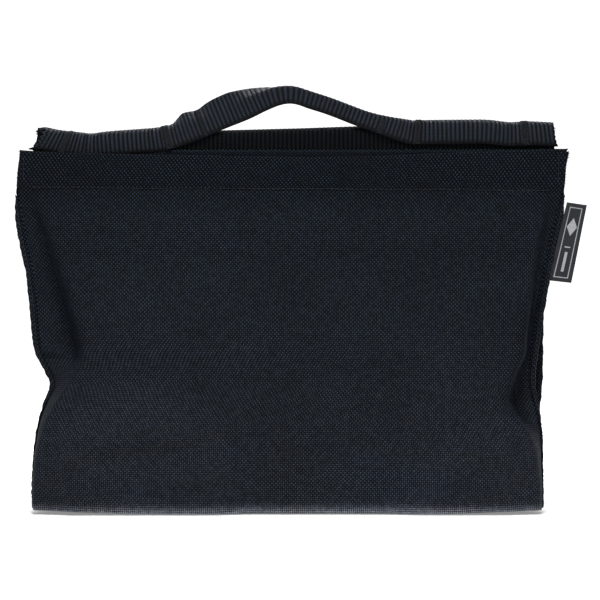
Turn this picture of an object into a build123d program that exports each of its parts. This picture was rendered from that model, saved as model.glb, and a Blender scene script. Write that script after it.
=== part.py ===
"""A saddle sandbag: two sand pouches hang face to face from a webbing ridge with a carrying handle.

Frame: +X runs along the ridge, +Y from the front pouch to the rear one, +Z up. The origin is on the
floor, at the middle of the bag's bounding box. Lengths are in millimetres.

Every pouch piece is made once, for the front pouch, and mirrored for the rear one.
"""

import math
import os

from build123d import *

# Cloth, webbing and tape
FABRIC = 1.0  # coated nylon cloth
WEBBING = 2.0  # ribbed nylon webbing
TAPE = 1.0  # each half of the touch fastener
FILM = 0.3  # film of the inner sand sack
THREAD = 0.5  # sewing thread standing proud of the cloth
CLEAR = 0.3  # gap between pieces that move against each other
STITCH_INSET = 2.5  # rows of stitching, from the edge of what they hold
TACK_WIDTH = 3.0  # cross rows of stitching over the webbing

# Pouch
MOUTH_HEIGHT = 266.0  # floor to the edge of the mouth
MOUTH_WIDTH = 392.0  # between the side seams
SHOULDER_DROP = 41.0  # mouth edge down to the widest place
SHOULDER_FLARE = 2.0  # how much wider than the mouth, on each side
WAIST_DROP = 85.0  # widest place down to the waist
WAIST_PINCH = 12.0  # how much narrower than the mouth, on each side
BASE_PINCH = 13.0
BASE_DEPTH = 46.0
BASE_EDGE_RADIUS = 6.0
BELLY = 9.0  # how far the outer face bows out of a straight line
POUCH_GAP = 3.0  # between the two pouches on the floor
SEAM_WIDTH = 4.0  # seam allowance standing out at the sides
SEAM_START = 12.0  # floor to the lower end of the side seams
HEM_LAYERS = 2
STRIP_WIDTH = 25.0  # touch fastener inside the mouth
STRIP_MARGIN = 1.5  # from the strip to the edges of the hem
STRIP_INSET = 12.0  # from the ends of the strip to the sides of the hem

# Ridge and handle
RIDGE_RADIUS = 3.0  # inside of the cloth bridge
RIDGE_INSET = 4.0  # from the ends of the ridge to the sides of the hem
RIDGE_RISE = 19.0  # mouth edge to the crest of the ridge webbing
RIDGE_WEBBING_WIDTH = 50.0
HANDLE_WEBBING_WIDTH = 25.0
HANDLE_INSET = 5.0  # from its ends to the ends of the ridge
ANCHOR_GAP = 2.5  # from its front edge down to the mouth of the pouch
ARCH_REACH = 91.0  # middle of the ridge to the seams where the handle lifts off
OUTER_TACK = 170.0  # middle of the ridge to the outer seams
ARCH_RISE = 31.0  # crest of the ridge to the top of the handle
ARCH_PEAK = -12.0  # the handle's highest point, from the middle
GRIP_TACK = 65.0  # middle to the seams that hold the grip folded
FOLD_GAP = 1.0  # between the two layers of the folded grip
FOOT_RISE = 3.5  # the arch's feet, above the crest
FOOT_DEPTH = 4.0

# Zip
ZIP_DROP = 30.0  # fold line of the hem down to the middle of the coil
ZIP_INSET = 21.0  # from the ends of the coil to the side seams
ZIP_SETBACK = 5.2  # middle of the coil, in front of the inner panel
COIL_WIDTH = 5.0
COIL_HEIGHT = 2.4
TAPE_CLOTH = 0.6  # woven tape of the zip
TAPE_DROP = 4.0  # how far the two tapes hang together before they part
SLIDER_LENGTH = 13.0
SLIDER_WALL = 1.2
SLIDER_PLAY = 0.3
STOP_LENGTH = 3.0
PULL_LENGTH = 14.0
PULL_WIDTH = 3.6
PULL_THICKNESS = 1.2
PIN_RADIUS = 0.7
PIN_PLAY = 0.07

# Sand sack
SAND_DROP = 58.0  # middle of the coil down to the top of the sack

# Label
LABEL_SHOW = 14.0  # how far it stands out of the side seam
LABEL_LENGTH = 57.0
LABEL_DROP = 26.5  # from the pouch's widest place down to the label's middle
LABEL_THICKNESS = 1.2
PRINT_THICKNESS = 0.2
PRINT_MARGIN = 1.6
PRINT_LINE = 0.7

# Places worked out from the sizes above
RIDGE_FACE = RIDGE_RADIUS + FABRIC + WEBBING
HANDLE_FACE = RIDGE_FACE + WEBBING
PANEL_BACK = RIDGE_FACE + CLEAR  # back of the inner panel at the mouth
PANEL_FACE = PANEL_BACK + FABRIC
HEM_BACK = PANEL_FACE + 2 * TAPE + CLEAR
HEM_FACE = HEM_BACK + HEM_LAYERS * FABRIC
HEM_DEPTH = STRIP_WIDTH + 2 * STRIP_MARGIN
FOLD_HEIGHT = MOUTH_HEIGHT - HEM_DEPTH
FULL_WIDTH = MOUTH_WIDTH + 2 * SEAM_WIDTH
BASE_BACK = POUCH_GAP / 2
BASE_FRONT = BASE_BACK + BASE_DEPTH
SHOULDER_HEIGHT = MOUTH_HEIGHT - SHOULDER_DROP
SHOULDER_REACH = MOUTH_WIDTH / 2 + SHOULDER_FLARE
WAIST_HEIGHT = SHOULDER_HEIGHT - WAIST_DROP
WAIST_REACH = MOUTH_WIDTH / 2 - WAIST_PINCH
STRIP_LENGTH = FULL_WIDTH - 2 * STRIP_INSET
RIDGE_LENGTH = FULL_WIDTH - 2 * RIDGE_INSET
HANDLE_REACH = RIDGE_LENGTH / 2 - HANDLE_INSET
RIDGE_TOP = MOUTH_HEIGHT + RIDGE_RISE
RIDGE_CENTRE = RIDGE_TOP - RIDGE_FACE
RIDGE_LEG = (RIDGE_WEBBING_WIDTH - math.pi * (RIDGE_FACE - WEBBING / 2)) / 2
HANDLE_LEG = RIDGE_CENTRE - MOUTH_HEIGHT - ANCHOR_GAP
HANDLE_BEND = math.degrees((HANDLE_WEBBING_WIDTH - HANDLE_LEG) / (HANDLE_FACE - WEBBING / 2))
ARCH_TOP = RIDGE_TOP + ARCH_RISE
GRIP_DEPTH = HANDLE_WEBBING_WIDTH / 2
GRIP_FACE = WEBBING + FOLD_GAP / 2
ZIP_HEIGHT = FOLD_HEIGHT - ZIP_DROP
ZIP_LENGTH = MOUTH_WIDTH - 2 * ZIP_INSET
SAND_HEIGHT = ZIP_HEIGHT - SAND_DROP
FAR = 2 * FULL_WIDTH  # longer than any piece, for cutting

# The label reaches out on one side only, so the bag is moved back by half of that.
ROW_ORIGIN = Location((-LABEL_SHOW / 2, 0, 0))


def over_ridge(inner, outer, front_leg, bend, rear_leg, start, end):
    """A strap laid over the ridge from one x to another.

    It has a straight front leg, then bends by some degrees, 180 if it goes all the way over, and may
    end in a straight rear leg.
    """
    middle = (inner + outer) / 2
    below = (Align.CENTER, Align.MAX)
    with BuildPart() as strap:
        with BuildSketch(Plane.YZ.offset(start)):
            with Locations((0, RIDGE_CENTRE)):
                Circle(outer)
                Circle(inner, mode=Mode.SUBTRACT)
                Rectangle(FAR, FAR, align=below, mode=Mode.SUBTRACT)
                Rectangle(FAR, FAR, rotation=180 - bend, align=below, mode=Mode.SUBTRACT)
            with Locations((-middle, RIDGE_CENTRE)):
                Rectangle(outer - inner, front_leg, align=below)
            if rear_leg:
                with Locations((middle, RIDGE_CENTRE)):
                    Rectangle(outer - inner, rear_leg, align=below)
        extrude(amount=end - start)
    return strap.part


def bridge_panel():
    """The cloth that joins the two pouches, under the ridge webbing."""
    outer = RIDGE_RADIUS + FABRIC
    half = RIDGE_LENGTH / 2
    return over_ridge(RIDGE_RADIUS, outer, RIDGE_LEG, 180, RIDGE_LEG, -half, half)


def ridge_webbing():
    """The wide webbing sewn along the ridge."""
    inner = RIDGE_RADIUS + FABRIC
    half = RIDGE_LENGTH / 2
    return over_ridge(inner, RIDGE_FACE, RIDGE_LEG, 180, RIDGE_LEG, -half, half)


def handle_anchor(side):
    """The flat end of the handle webbing, sewn to the front of the ridge and just over its crest.

    Side is -1 for the left end and 1 for the right one.
    """
    start, end = sorted((side * ARCH_REACH, side * HANDLE_REACH))
    return over_ridge(RIDGE_FACE, HANDLE_FACE, HANDLE_LEG, HANDLE_BEND, 0, start, end)


def anchor_tacks():
    """The cross rows of stitching that hold the handle webbing down, two at each end."""
    leg = HANDLE_LEG - STITCH_INSET
    bend = HANDLE_BEND - math.degrees(STITCH_INSET / HANDLE_FACE)
    outer = HANDLE_FACE + THREAD
    inner_tack = ARCH_REACH + STITCH_INSET
    rows = [
        over_ridge(HANDLE_FACE, outer, leg, bend, 0, x - TACK_WIDTH / 2, x + TACK_WIDTH / 2)
        for x in (-OUTER_TACK, -inner_tack, inner_tack, OUTER_TACK)
    ]
    with BuildPart() as tacks:
        add(rows)
    return tacks.part


def arch_outline(inset):
    """The handle's arch seen from the front, less an inset at its upper and lower edges."""
    reach = ARCH_REACH - CLEAR
    feet = RIDGE_TOP + FOOT_RISE
    peak = (ARCH_PEAK, ARCH_TOP - inset)
    palm = (ARCH_PEAK / 2, ARCH_TOP - GRIP_DEPTH + inset)
    left_top, right_top = (-reach, feet + FOOT_DEPTH - inset), (reach, feet + FOOT_DEPTH - inset)
    left_foot, right_foot = (-reach, feet + inset), (reach, feet + inset)
    with BuildSketch(Plane.XZ) as outline:
        with BuildLine():
            Spline(left_top, peak, right_top, tangents=((1, 0.5), (1, -0.2)))
            Spline(left_foot, palm, right_foot, tangents=((1, 0), (1, 0)))
            Line(left_top, left_foot)
            Line(right_top, right_foot)
        make_face()
    return outline.sketch


def handle_grip():
    """The arch of the handle, its webbing folded double, standing over the ridge."""
    outline = arch_outline(0)
    with BuildPart() as grip:
        extrude(outline, amount=GRIP_FACE, both=True)
    return grip.part


def grip_tacks():
    """The rows across both faces of the grip that keep its webbing folded."""
    outline = arch_outline(THREAD)
    with BuildPart() as tacks:
        with Locations((-GRIP_TACK, 0, ARCH_TOP), (GRIP_TACK, 0, ARCH_TOP)):
            Box(TACK_WIDTH, 2 * (GRIP_FACE + THREAD), FAR)
        extrude(outline, amount=FAR, both=True, mode=Mode.INTERSECT)
        Box(FAR, 2 * GRIP_FACE, FAR, mode=Mode.SUBTRACT)
    return tacks.part


def side_outline(inset):
    """The pouch seen from the front, carried on above its mouth, less an inset all round."""
    right = [
        (MOUTH_WIDTH / 2 - BASE_PINCH, 0),
        (WAIST_REACH, WAIST_HEIGHT),
        (SHOULDER_REACH, SHOULDER_HEIGHT),
        (MOUTH_WIDTH / 2, MOUTH_HEIGHT + HEM_DEPTH),
    ]
    left = [(-x, z) for x, z in reversed(right)]
    with BuildSketch(Plane.XZ) as outline:
        with BuildLine():
            Polyline(*right, *left, close=True)
        make_face()
        if inset:
            offset(amount=-inset, kind=Kind.INTERSECTION, mode=Mode.REPLACE)
    return outline.sketch


def pouch_body(inset, top):
    """The space that the front pouch takes, less an inset all round, cut off level at a height."""
    outline = side_outline(inset)
    belly = (-(HEM_FACE + BASE_FRONT) / 2 - BELLY, FOLD_HEIGHT / 2)
    with BuildPart() as body:
        with BuildSketch(Plane.YZ):
            with BuildLine():
                ThreePointArc((-HEM_FACE, FOLD_HEIGHT), belly, (-BASE_FRONT, 0))
                Polyline(
                    (-BASE_FRONT, 0),
                    (-BASE_BACK, 0),
                    (-PANEL_BACK, FOLD_HEIGHT),
                    (-PANEL_BACK, MOUTH_HEIGHT),
                    (-HEM_FACE, MOUTH_HEIGHT),
                    (-HEM_FACE, FOLD_HEIGHT),
                )
            face = make_face()
            fillet(face.vertices().group_by(Axis.Y)[0], BASE_EDGE_RADIUS)
            if inset:
                offset(amount=-inset, kind=Kind.INTERSECTION, mode=Mode.REPLACE)
        extrude(amount=FAR, both=True)
        extrude(outline, amount=FAR, both=True, mode=Mode.INTERSECT)
        split(bisect_by=Plane.XY.offset(top), keep=Keep.BOTTOM)
    return body.part


def panel_face(height):
    """How far the front of the inner panel stands in front of the bag's middle plane, at a height."""
    return BASE_BACK + (PANEL_BACK - BASE_BACK) * height / FOLD_HEIGHT + FABRIC


def seam_middle(height):
    """How far the plane of the side seams stands in front of the bag's middle plane, at a height."""
    base = (BASE_BACK + BASE_FRONT) / 2
    mouth = (PANEL_FACE + HEM_BACK) / 2
    return base + (mouth - base) * height / FOLD_HEIGHT


def seam_layer(near, far, bottom, top):
    """A slab along the plane of the side seams, between two distances in front of that plane."""
    with BuildPart() as slab:
        with BuildSketch(Plane.YZ):
            with BuildLine():
                Polyline(
                    (-seam_middle(bottom) - near, bottom),
                    (-seam_middle(top) - near, top),
                    (-seam_middle(top) - far, top),
                    (-seam_middle(bottom) - far, bottom),
                    close=True,
                )
            make_face()
        extrude(amount=FAR, both=True)
    return slab.part


def pouch_skin():
    """The whole cloth of the front pouch up to the fold line of its mouth, in one piece."""
    outside = pouch_body(0, FOLD_HEIGHT)
    inside = pouch_body(FABRIC, FOLD_HEIGHT)
    with BuildPart() as skin:
        add(outside)
        add(inside, mode=Mode.SUBTRACT)
    return skin.part


def outer_panel(skin):
    """The cloth of the pouch's outer face, with the front half of its sides and of its base."""
    front_half = seam_layer(0, FAR, -HEM_DEPTH, FOLD_HEIGHT)
    with BuildPart() as panel:
        add(skin)
        add(front_half, mode=Mode.INTERSECT)
    return panel.part


def inner_panel(skin):
    """The cloth of the face towards the other pouch, rising behind the mouth to the ridge."""
    rear_half = seam_layer(-FAR, 0, -HEM_DEPTH, FOLD_HEIGHT)
    with BuildPart() as panel:
        add(skin)
        add(rear_half, mode=Mode.INTERSECT)
        with Locations((0, -PANEL_BACK, FOLD_HEIGHT)):
            Box(FULL_WIDTH, FABRIC, HEM_DEPTH - CLEAR, align=(Align.CENTER, Align.MAX, Align.MIN))
    return panel.part


def side_seam(side):
    """The seam allowance that stands out along one side. Side is -1 left or 1 right."""
    both_layers = seam_layer(-FABRIC, FABRIC, SEAM_START, FOLD_HEIGHT - CLEAR)
    allowance, pouch = side_outline(-SEAM_WIDTH), side_outline(0)
    with BuildPart() as seam:
        add(both_layers)
        extrude(allowance, amount=FAR, both=True, mode=Mode.INTERSECT)
        extrude(pouch, amount=FAR, both=True, mode=Mode.SUBTRACT)
        split(bisect_by=Plane.YZ, keep=Keep.TOP if side > 0 else Keep.BOTTOM)
    return seam.part


def side_stitching():
    """The thread along both side seams, on their front face."""
    thread = seam_layer(
        FABRIC, FABRIC + THREAD, SEAM_START + STITCH_INSET, FOLD_HEIGHT - STITCH_INSET
    )
    outside = side_outline(-(SEAM_WIDTH + THREAD) / 2)
    inside = side_outline(-(SEAM_WIDTH - THREAD) / 2)
    with BuildPart() as stitching:
        add(thread)
        extrude(outside, amount=FAR, both=True, mode=Mode.INTERSECT)
        extrude(inside, amount=FAR, both=True, mode=Mode.SUBTRACT)
    return stitching.part


def upright_strip(back, thickness, bottom, height, length):
    """A flat strip across the mouth, its back face at a distance in front of the middle plane."""
    with BuildPart() as strip:
        with Locations((0, -back, bottom)):
            Box(length, thickness, height, align=(Align.CENTER, Align.MAX, Align.MIN))
    return strip.part


def mouth_hem():
    """The doubled band of cloth along the mouth, above its fold line."""
    thickness = HEM_LAYERS * FABRIC
    return upright_strip(HEM_BACK, thickness, FOLD_HEIGHT + CLEAR, HEM_DEPTH - CLEAR, FULL_WIDTH)


def hem_stitching():
    """The row of thread along the lower edge of the hem."""
    length = FULL_WIDTH - 2 * STITCH_INSET
    return upright_strip(HEM_FACE, THREAD, FOLD_HEIGHT + STITCH_INSET, THREAD, length)


def hook_strip():
    """The hook half of the touch fastener, on the back of the hem."""
    bottom = FOLD_HEIGHT + STRIP_MARGIN
    return upright_strip(HEM_BACK - TAPE, TAPE, bottom, STRIP_WIDTH, STRIP_LENGTH)


def loop_strip():
    """The loop half of the touch fastener, on the front of the inner panel."""
    bottom = FOLD_HEIGHT + STRIP_MARGIN
    return upright_strip(PANEL_FACE, TAPE, bottom, STRIP_WIDTH, STRIP_LENGTH)


COIL_MIDDLE = panel_face(ZIP_HEIGHT) + ZIP_SETBACK
SLIDER_TOP = ZIP_HEIGHT + COIL_HEIGHT / 2 + SLIDER_PLAY + SLIDER_WALL
SLIDER_PLACE = ZIP_LENGTH / 2 - SLIDER_LENGTH  # middle of the slider when the zip is closed
LUG_HEIGHT = PULL_THICKNESS + SLIDER_PLAY  # slider's upper face to the middle of the pin
LUG_INSIDE = PULL_WIDTH / 2 + SLIDER_PLAY
LUG_OUTSIDE = LUG_INSIDE + SLIDER_WALL


def zip_tape(side):
    """The woven tape from the coil to a panel. Side is -1 for the outer panel, 1 for the inner one."""
    top = ZIP_HEIGHT - COIL_HEIGHT / 2
    bend = top - TAPE_DROP
    near, far = -COIL_MIDDLE, -COIL_MIDDLE + side * BASE_DEPTH
    room = pouch_body(FABRIC, FOLD_HEIGHT)
    with BuildPart() as tape:
        with BuildSketch(Plane.YZ):
            with BuildLine():
                Polyline(
                    (near, top),
                    (near, bend),
                    (far, bend - BASE_DEPTH),
                    (far + side * TAPE_CLOTH, bend - BASE_DEPTH),
                    (near + side * TAPE_CLOTH, bend),
                    (near + side * TAPE_CLOTH, top),
                    close=True,
                )
            make_face()
        extrude(amount=ZIP_LENGTH / 2 + STOP_LENGTH, both=True)
        add(room, mode=Mode.INTERSECT)
    return tape.part


def zip_coil():
    """The closed coil of the zip, as the plain bar that it fills."""
    with BuildPart() as coil:
        with BuildSketch(Plane.YZ):
            with Locations((-COIL_MIDDLE, ZIP_HEIGHT)):
                SlotOverall(COIL_WIDTH, COIL_HEIGHT)
        extrude(amount=ZIP_LENGTH / 2, both=True)
    return coil.part


def zip_stops():
    """The clips at the two ends of the coil."""
    reach = (ZIP_LENGTH + STOP_LENGTH) / 2
    with BuildPart() as stops:
        with Locations((-reach, -COIL_MIDDLE, ZIP_HEIGHT), (reach, -COIL_MIDDLE, ZIP_HEIGHT)):
            Box(STOP_LENGTH, COIL_WIDTH, COIL_HEIGHT)
    return stops.part


def zip_slider():
    """The slider: a body with a channel for the coil, a slot for the tapes and lugs with a pin."""
    channel_width, channel_height = COIL_WIDTH + 2 * SLIDER_PLAY, COIL_HEIGHT + 2 * SLIDER_PLAY
    slot_width = 2 * (TAPE_CLOTH + SLIDER_PLAY)
    width, height = channel_width + 2 * SLIDER_WALL, channel_height + 2 * SLIDER_WALL
    below = (Align.CENTER, Align.CENTER, Align.MAX)
    with BuildPart() as slider:
        with Locations((SLIDER_PLACE, -COIL_MIDDLE, ZIP_HEIGHT)):
            Box(SLIDER_LENGTH, width, height)
            Box(SLIDER_LENGTH, channel_width, channel_height, mode=Mode.SUBTRACT)
            Box(SLIDER_LENGTH, slot_width, height, align=below, mode=Mode.SUBTRACT)
        with BuildSketch(Plane.XZ.offset(COIL_MIDDLE)):
            with Locations((SLIDER_PLACE, SLIDER_TOP)):
                Rectangle(2 * LUG_HEIGHT, LUG_HEIGHT, align=(Align.CENTER, Align.MIN))
            with Locations((SLIDER_PLACE, SLIDER_TOP + LUG_HEIGHT)):
                Circle(LUG_HEIGHT)
        extrude(amount=LUG_OUTSIDE, both=True)
        with Locations((SLIDER_PLACE, -COIL_MIDDLE, SLIDER_TOP)):
            Box(
                2 * LUG_HEIGHT,
                2 * LUG_INSIDE,
                2 * LUG_HEIGHT,
                align=(Align.CENTER, Align.CENTER, Align.MIN),
                mode=Mode.SUBTRACT,
            )
        with BuildSketch(Plane.XZ.offset(COIL_MIDDLE)):
            with Locations((SLIDER_PLACE, SLIDER_TOP + LUG_HEIGHT)):
                Circle(PIN_RADIUS)
        extrude(amount=LUG_OUTSIDE, both=True)
    return slider.part


def zip_pull():
    """The pull tab, turning on the slider's pin and lying towards the closed end."""
    with BuildPart() as pull:
        with BuildSketch(Plane.XZ.offset(COIL_MIDDLE)):
            with Locations((SLIDER_PLACE, SLIDER_TOP + LUG_HEIGHT)):
                Circle(PULL_THICKNESS)
                Rectangle(PULL_LENGTH, PULL_THICKNESS, align=(Align.MIN, Align.CENTER))
                Circle(PIN_RADIUS + PIN_PLAY, mode=Mode.SUBTRACT)
        extrude(amount=PULL_WIDTH / 2, both=True)
    return pull.part


def sand():
    """The sand, filling its sack."""
    return pouch_body(FABRIC + FILM, SAND_HEIGHT - FILM)


def sand_sack(filling):
    """The sealed film sack that keeps the sand in."""
    outside = pouch_body(FABRIC, SAND_HEIGHT)
    with BuildPart() as sack:
        add(outside)
        add(filling, mode=Mode.SUBTRACT)
    return sack.part


def label_plane():
    """The front of the label: x runs up its length along the right-hand seam, y away from the bag."""
    height = SHOULDER_HEIGHT - LABEL_DROP
    rise = SHOULDER_HEIGHT - WAIST_HEIGHT
    out = (SHOULDER_REACH - WAIST_REACH) / rise
    back = (seam_middle(WAIST_HEIGHT) - seam_middle(SHOULDER_HEIGHT)) / rise
    edge = SHOULDER_REACH - out * LABEL_DROP + SEAM_WIDTH * math.hypot(1, out)
    origin = (edge, -seam_middle(height) - LABEL_THICKNESS / 2, height)
    return Plane(origin=origin, x_dir=(out, back, 1), z_dir=(0, -1, back))


def label():
    """The folded ribbon label in the right-hand side seam of the front pouch."""
    with BuildPart() as ribbon:
        with BuildSketch(label_plane()):
            Rectangle(LABEL_LENGTH, LABEL_SHOW, align=(Align.CENTER, Align.MAX))
        extrude(amount=-LABEL_THICKNESS)
    return ribbon.part


def label_print():
    """A plain printed pattern on the label: a border with a square and a bar in it."""
    length, height = LABEL_LENGTH - 2 * PRINT_MARGIN, LABEL_SHOW - 2 * PRINT_MARGIN
    with BuildPart() as printing:
        with BuildSketch(label_plane()):
            with Locations((0, -LABEL_SHOW / 2)):
                Rectangle(length, height)
                offset(amount=-PRINT_LINE, kind=Kind.INTERSECTION, mode=Mode.SUBTRACT)
            with Locations((length / 3, -LABEL_SHOW / 2)):
                Rectangle(height / 3, height / 3, rotation=45)
            with Locations((-length / 8, -LABEL_SHOW / 2)):
                Rectangle(length / 2, height / 6)
        extrude(amount=PRINT_THICKNESS)
    return printing.part


def write(name, part):
    """Names a finished piece and writes it, moved so that the origin is the middle of the box."""
    placed = part.moved(ROW_ORIGIN)
    placed.label = name
    export_step(placed, f"parts/{name}.step")


def main():
    """Builds every piece and writes one file for each."""
    os.makedirs("parts", exist_ok=True)
    write("bridge_panel", bridge_panel())
    write("ridge_webbing", ridge_webbing())
    write("left_handle_anchor", handle_anchor(-1))
    write("right_handle_anchor", handle_anchor(1))
    write("anchor_tacks", anchor_tacks())
    write("handle_grip", handle_grip())
    write("grip_tacks", grip_tacks())
    write("label", label())
    write("label_print", label_print())
    skin = pouch_skin()
    filling = sand()
    pouch_pieces = {
        "outer_panel": outer_panel(skin),
        "inner_panel": inner_panel(skin),
        "left_seam": side_seam(-1),
        "right_seam": side_seam(1),
        "side_stitching": side_stitching(),
        "mouth_hem": mouth_hem(),
        "hem_stitching": hem_stitching(),
        "hook_strip": hook_strip(),
        "loop_strip": loop_strip(),
        "zip_outer_tape": zip_tape(-1),
        "zip_inner_tape": zip_tape(1),
        "zip_coil": zip_coil(),
        "zip_stops": zip_stops(),
        "zip_slider": zip_slider(),
        "zip_pull": zip_pull(),
        "sand_sack": sand_sack(filling),
        "sand": filling,
    }
    for name, piece in pouch_pieces.items():
        write(f"front_{name}", piece)
        write(f"rear_{name}", mirror(piece, about=Plane.XZ))


main()
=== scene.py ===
"""The looks of a saddle sandbag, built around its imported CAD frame.

Two cloth pouches hang face to face from a ridge of webbing that carries an arched handle. Shapes are
worked out in millimetres in the frame of the CAD: +X along the ridge, +Y from the front pouch to the
rear one, +Z up from the floor.
"""

import logging
import math
from dataclasses import dataclass, replace
from enum import Enum

import bmesh
import bpy
import numpy as np
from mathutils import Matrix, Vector


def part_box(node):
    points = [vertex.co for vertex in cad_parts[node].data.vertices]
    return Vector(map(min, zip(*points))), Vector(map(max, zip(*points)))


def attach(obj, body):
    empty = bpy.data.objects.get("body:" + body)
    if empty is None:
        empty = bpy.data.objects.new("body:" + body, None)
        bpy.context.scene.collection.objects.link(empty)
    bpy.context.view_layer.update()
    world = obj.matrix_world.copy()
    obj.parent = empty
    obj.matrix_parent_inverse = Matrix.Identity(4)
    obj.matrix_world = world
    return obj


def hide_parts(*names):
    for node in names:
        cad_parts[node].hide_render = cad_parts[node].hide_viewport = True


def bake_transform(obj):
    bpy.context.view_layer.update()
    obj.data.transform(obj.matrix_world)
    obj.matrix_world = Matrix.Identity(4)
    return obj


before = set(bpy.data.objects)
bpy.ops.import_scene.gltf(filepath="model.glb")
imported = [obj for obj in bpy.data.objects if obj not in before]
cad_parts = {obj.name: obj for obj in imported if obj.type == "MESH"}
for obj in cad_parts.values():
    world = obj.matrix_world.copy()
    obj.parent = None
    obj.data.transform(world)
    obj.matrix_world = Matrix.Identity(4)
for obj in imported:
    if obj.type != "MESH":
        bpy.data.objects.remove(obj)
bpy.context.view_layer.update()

LOG = logging.getLogger("sandbag")
MM = 0.001
BAG_MIDDLE = 500 * (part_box("front_mouth_hem")[0].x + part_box("front_mouth_hem")[1].x)
FOLD_HEIGHT = 238.0  # where the hem of each mouth begins
HEM_HEIGHT = 28  # of the hem, from there up to the mouth
HEM_FACE = 11.6  # outer face of the hem, from the middle of the bag
THREAD_COORDS = "threads"  # millimetres along warp and weft, then a 0 to 1 share of sand, fraying, painted light and shade

Grid = np.ndarray
Points = tuple[tuple[float, float], ...]
Socket = bpy.types.NodeSocket


class Side(Enum):
    """Which pouch, as the sign of its Y."""

    FRONT = -1
    REAR = 1

    @property
    def word(self) -> str:
        """The pouch's name in the CAD."""
        return self.name.lower()


# Shape helpers


def through(points: Points, at: Grid, soft: float) -> Grid:
    """A soft curve through given points.

    Args:
        points: places and the values there.
        at: places to read.
        soft: how far the corners are rounded, in the units of the places.

    Returns:
        The values at those places.
    """
    places, values = zip(*points)
    taps = np.linspace(-2, 2, 9)
    weights = np.exp(-taps * taps / 2)
    total = sum(w * np.interp(at + soft * t, places, values) for w, t in zip(weights, taps))
    return total / weights.sum()


def ease(start: float, end: float, at: Grid) -> Grid:
    """A step from 0 at start to 1 at end, without corners."""
    t = np.clip((at - start) / (end - start), 0, 1)
    return t * t * (3 - 2 * t)


def ripple(u: Grid, v: Grid, seed: int, length: float, waves: int = 7) -> Grid:
    """Seeded unevenness of cloth.

    Args:
        u: first coordinate, in millimetres.
        v: second coordinate, in millimetres.
        seed: which unevenness.
        length: mean wavelength, in millimetres.
        waves: how many waves are added.

    Returns:
        Heights of about -1 to 1.
    """
    rng = np.random.default_rng(seed)
    total = np.zeros(np.broadcast(u, v).shape)
    for _ in range(waves):
        turn, phase = rng.uniform(0, math.pi), rng.uniform(0, math.tau)
        k = math.tau / (length * rng.uniform(0.7, 1.5))
        total += np.cos(k * (u * math.cos(turn) + v * math.sin(turn)) + phase)
    return total / math.sqrt(2 * waves)


def unit(vectors: Grid) -> Grid:
    """The vectors at length 1."""
    return vectors / np.maximum(np.linalg.norm(vectors, axis=-1, keepdims=True), 1e-9)


def travelled(line: Grid) -> Grid:
    """The length along a line up to each of its points."""
    return np.concatenate([[0], np.cumsum(np.linalg.norm(np.diff(line, axis=0), axis=1))])


def read_along(line: Grid, along: Grid, at: Grid) -> Grid:
    """What a line holds at some places along it, given how far along each of its points is."""
    return np.stack([np.interp(at, along, column) for column in line.T], axis=-1)


def respaced(line: Grid, count: int) -> Grid:
    """A line again, with its points evenly spaced along it."""
    along = travelled(line)
    return read_along(line, along, np.linspace(0, along[-1], count))


def thread_grid(like: Grid, along: Grid = 0.0, across: Grid = 0.0, wear_and_painted_light: Grid = 0.0) -> Grid:
    """Thread coordinates for a grid of points.

    Args:
        like: the points.
        along: millimetres along the warp.
        across: millimetres along the weft.
        wear_and_painted_light: from 0 to 1, a share of paling or darkening that stands for fraying, a
            dusting of sand, and painted light and shade.

    Returns:
        The three of them for each point.
    """
    threads = np.zeros_like(like)
    threads[..., 0], threads[..., 1], threads[..., 2] = along, across, wear_and_painted_light
    return threads


@dataclass
class Patch:
    """Points in millimetres, the faces between them, and their thread coordinates."""

    points: Grid
    faces: list[tuple[int, ...]]
    threads: Grid

    def __add__(self, other: "Patch") -> "Patch":
        """Both patches as one.

        Args:
            other: the patch that comes after this one.

        Returns:
            The two in one patch, not joined at any point.
        """
        start = len(self.points)
        moved = [tuple(i + start for i in face) for face in other.faces]
        return Patch(
            np.vstack([self.points, other.points]),
            self.faces + moved,
            np.vstack([self.threads, other.threads]),
        )


def two_layers(outer: Grid, inner: Grid, threads: Grid) -> Patch:
    """A closed sheet between two layers.

    Args:
        outer: rows and columns of points.
        inner: the same points on the other side.
        threads: thread coordinates of each point.

    Returns:
        The patch, closed round its rim.
    """
    rows, columns = outer.shape[:2]
    index = np.arange(rows * columns).reshape(rows, columns)
    low = index + rows * columns
    a, b, c, d = index[:-1, :-1], index[:-1, 1:], index[1:, 1:], index[1:, :-1]
    top = np.stack([a, b, c, d], axis=-1).reshape(-1, 4)
    under = (np.stack([d, c, b, a], axis=-1) + rows * columns).reshape(-1, 4)
    rim = np.concatenate([index[0, :], index[1:, -1], index[-1, -2::-1], index[-2:0:-1, 0]])
    edge = np.concatenate([low[0, :], low[1:, -1], low[-1, -2::-1], low[-2:0:-1, 0]])
    walls = np.stack([rim, edge, np.roll(edge, -1), np.roll(rim, -1)], axis=1)
    faces = [tuple(f) for f in np.vstack([top, under, walls]).tolist()]
    points = np.vstack([outer.reshape(-1, 3), inner.reshape(-1, 3)])
    return Patch(points, faces, np.vstack([threads.reshape(-1, 3)] * 2))


def round_patch(rings: Grid, closed: bool) -> Patch:
    """A surface through rings of points.

    Args:
        rings: rings and points.
        closed: whether the first and the last ring are filled in.

    Returns:
        The patch, with no thread coordinates of its own.
    """
    index = np.arange(rings.shape[0] * rings.shape[1]).reshape(rings.shape[:2])
    after = np.roll(index, -1, axis=1)
    quads = np.stack([index[:-1], after[:-1], after[1:], index[1:]], axis=-1).reshape(-1, 4)
    faces = [tuple(face) for face in quads.tolist()]
    if closed:
        faces += [tuple(index[0, ::-1].tolist()), tuple(index[-1].tolist())]
    return Patch(rings.reshape(-1, 3), faces, np.zeros((index.size, 3)))


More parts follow.
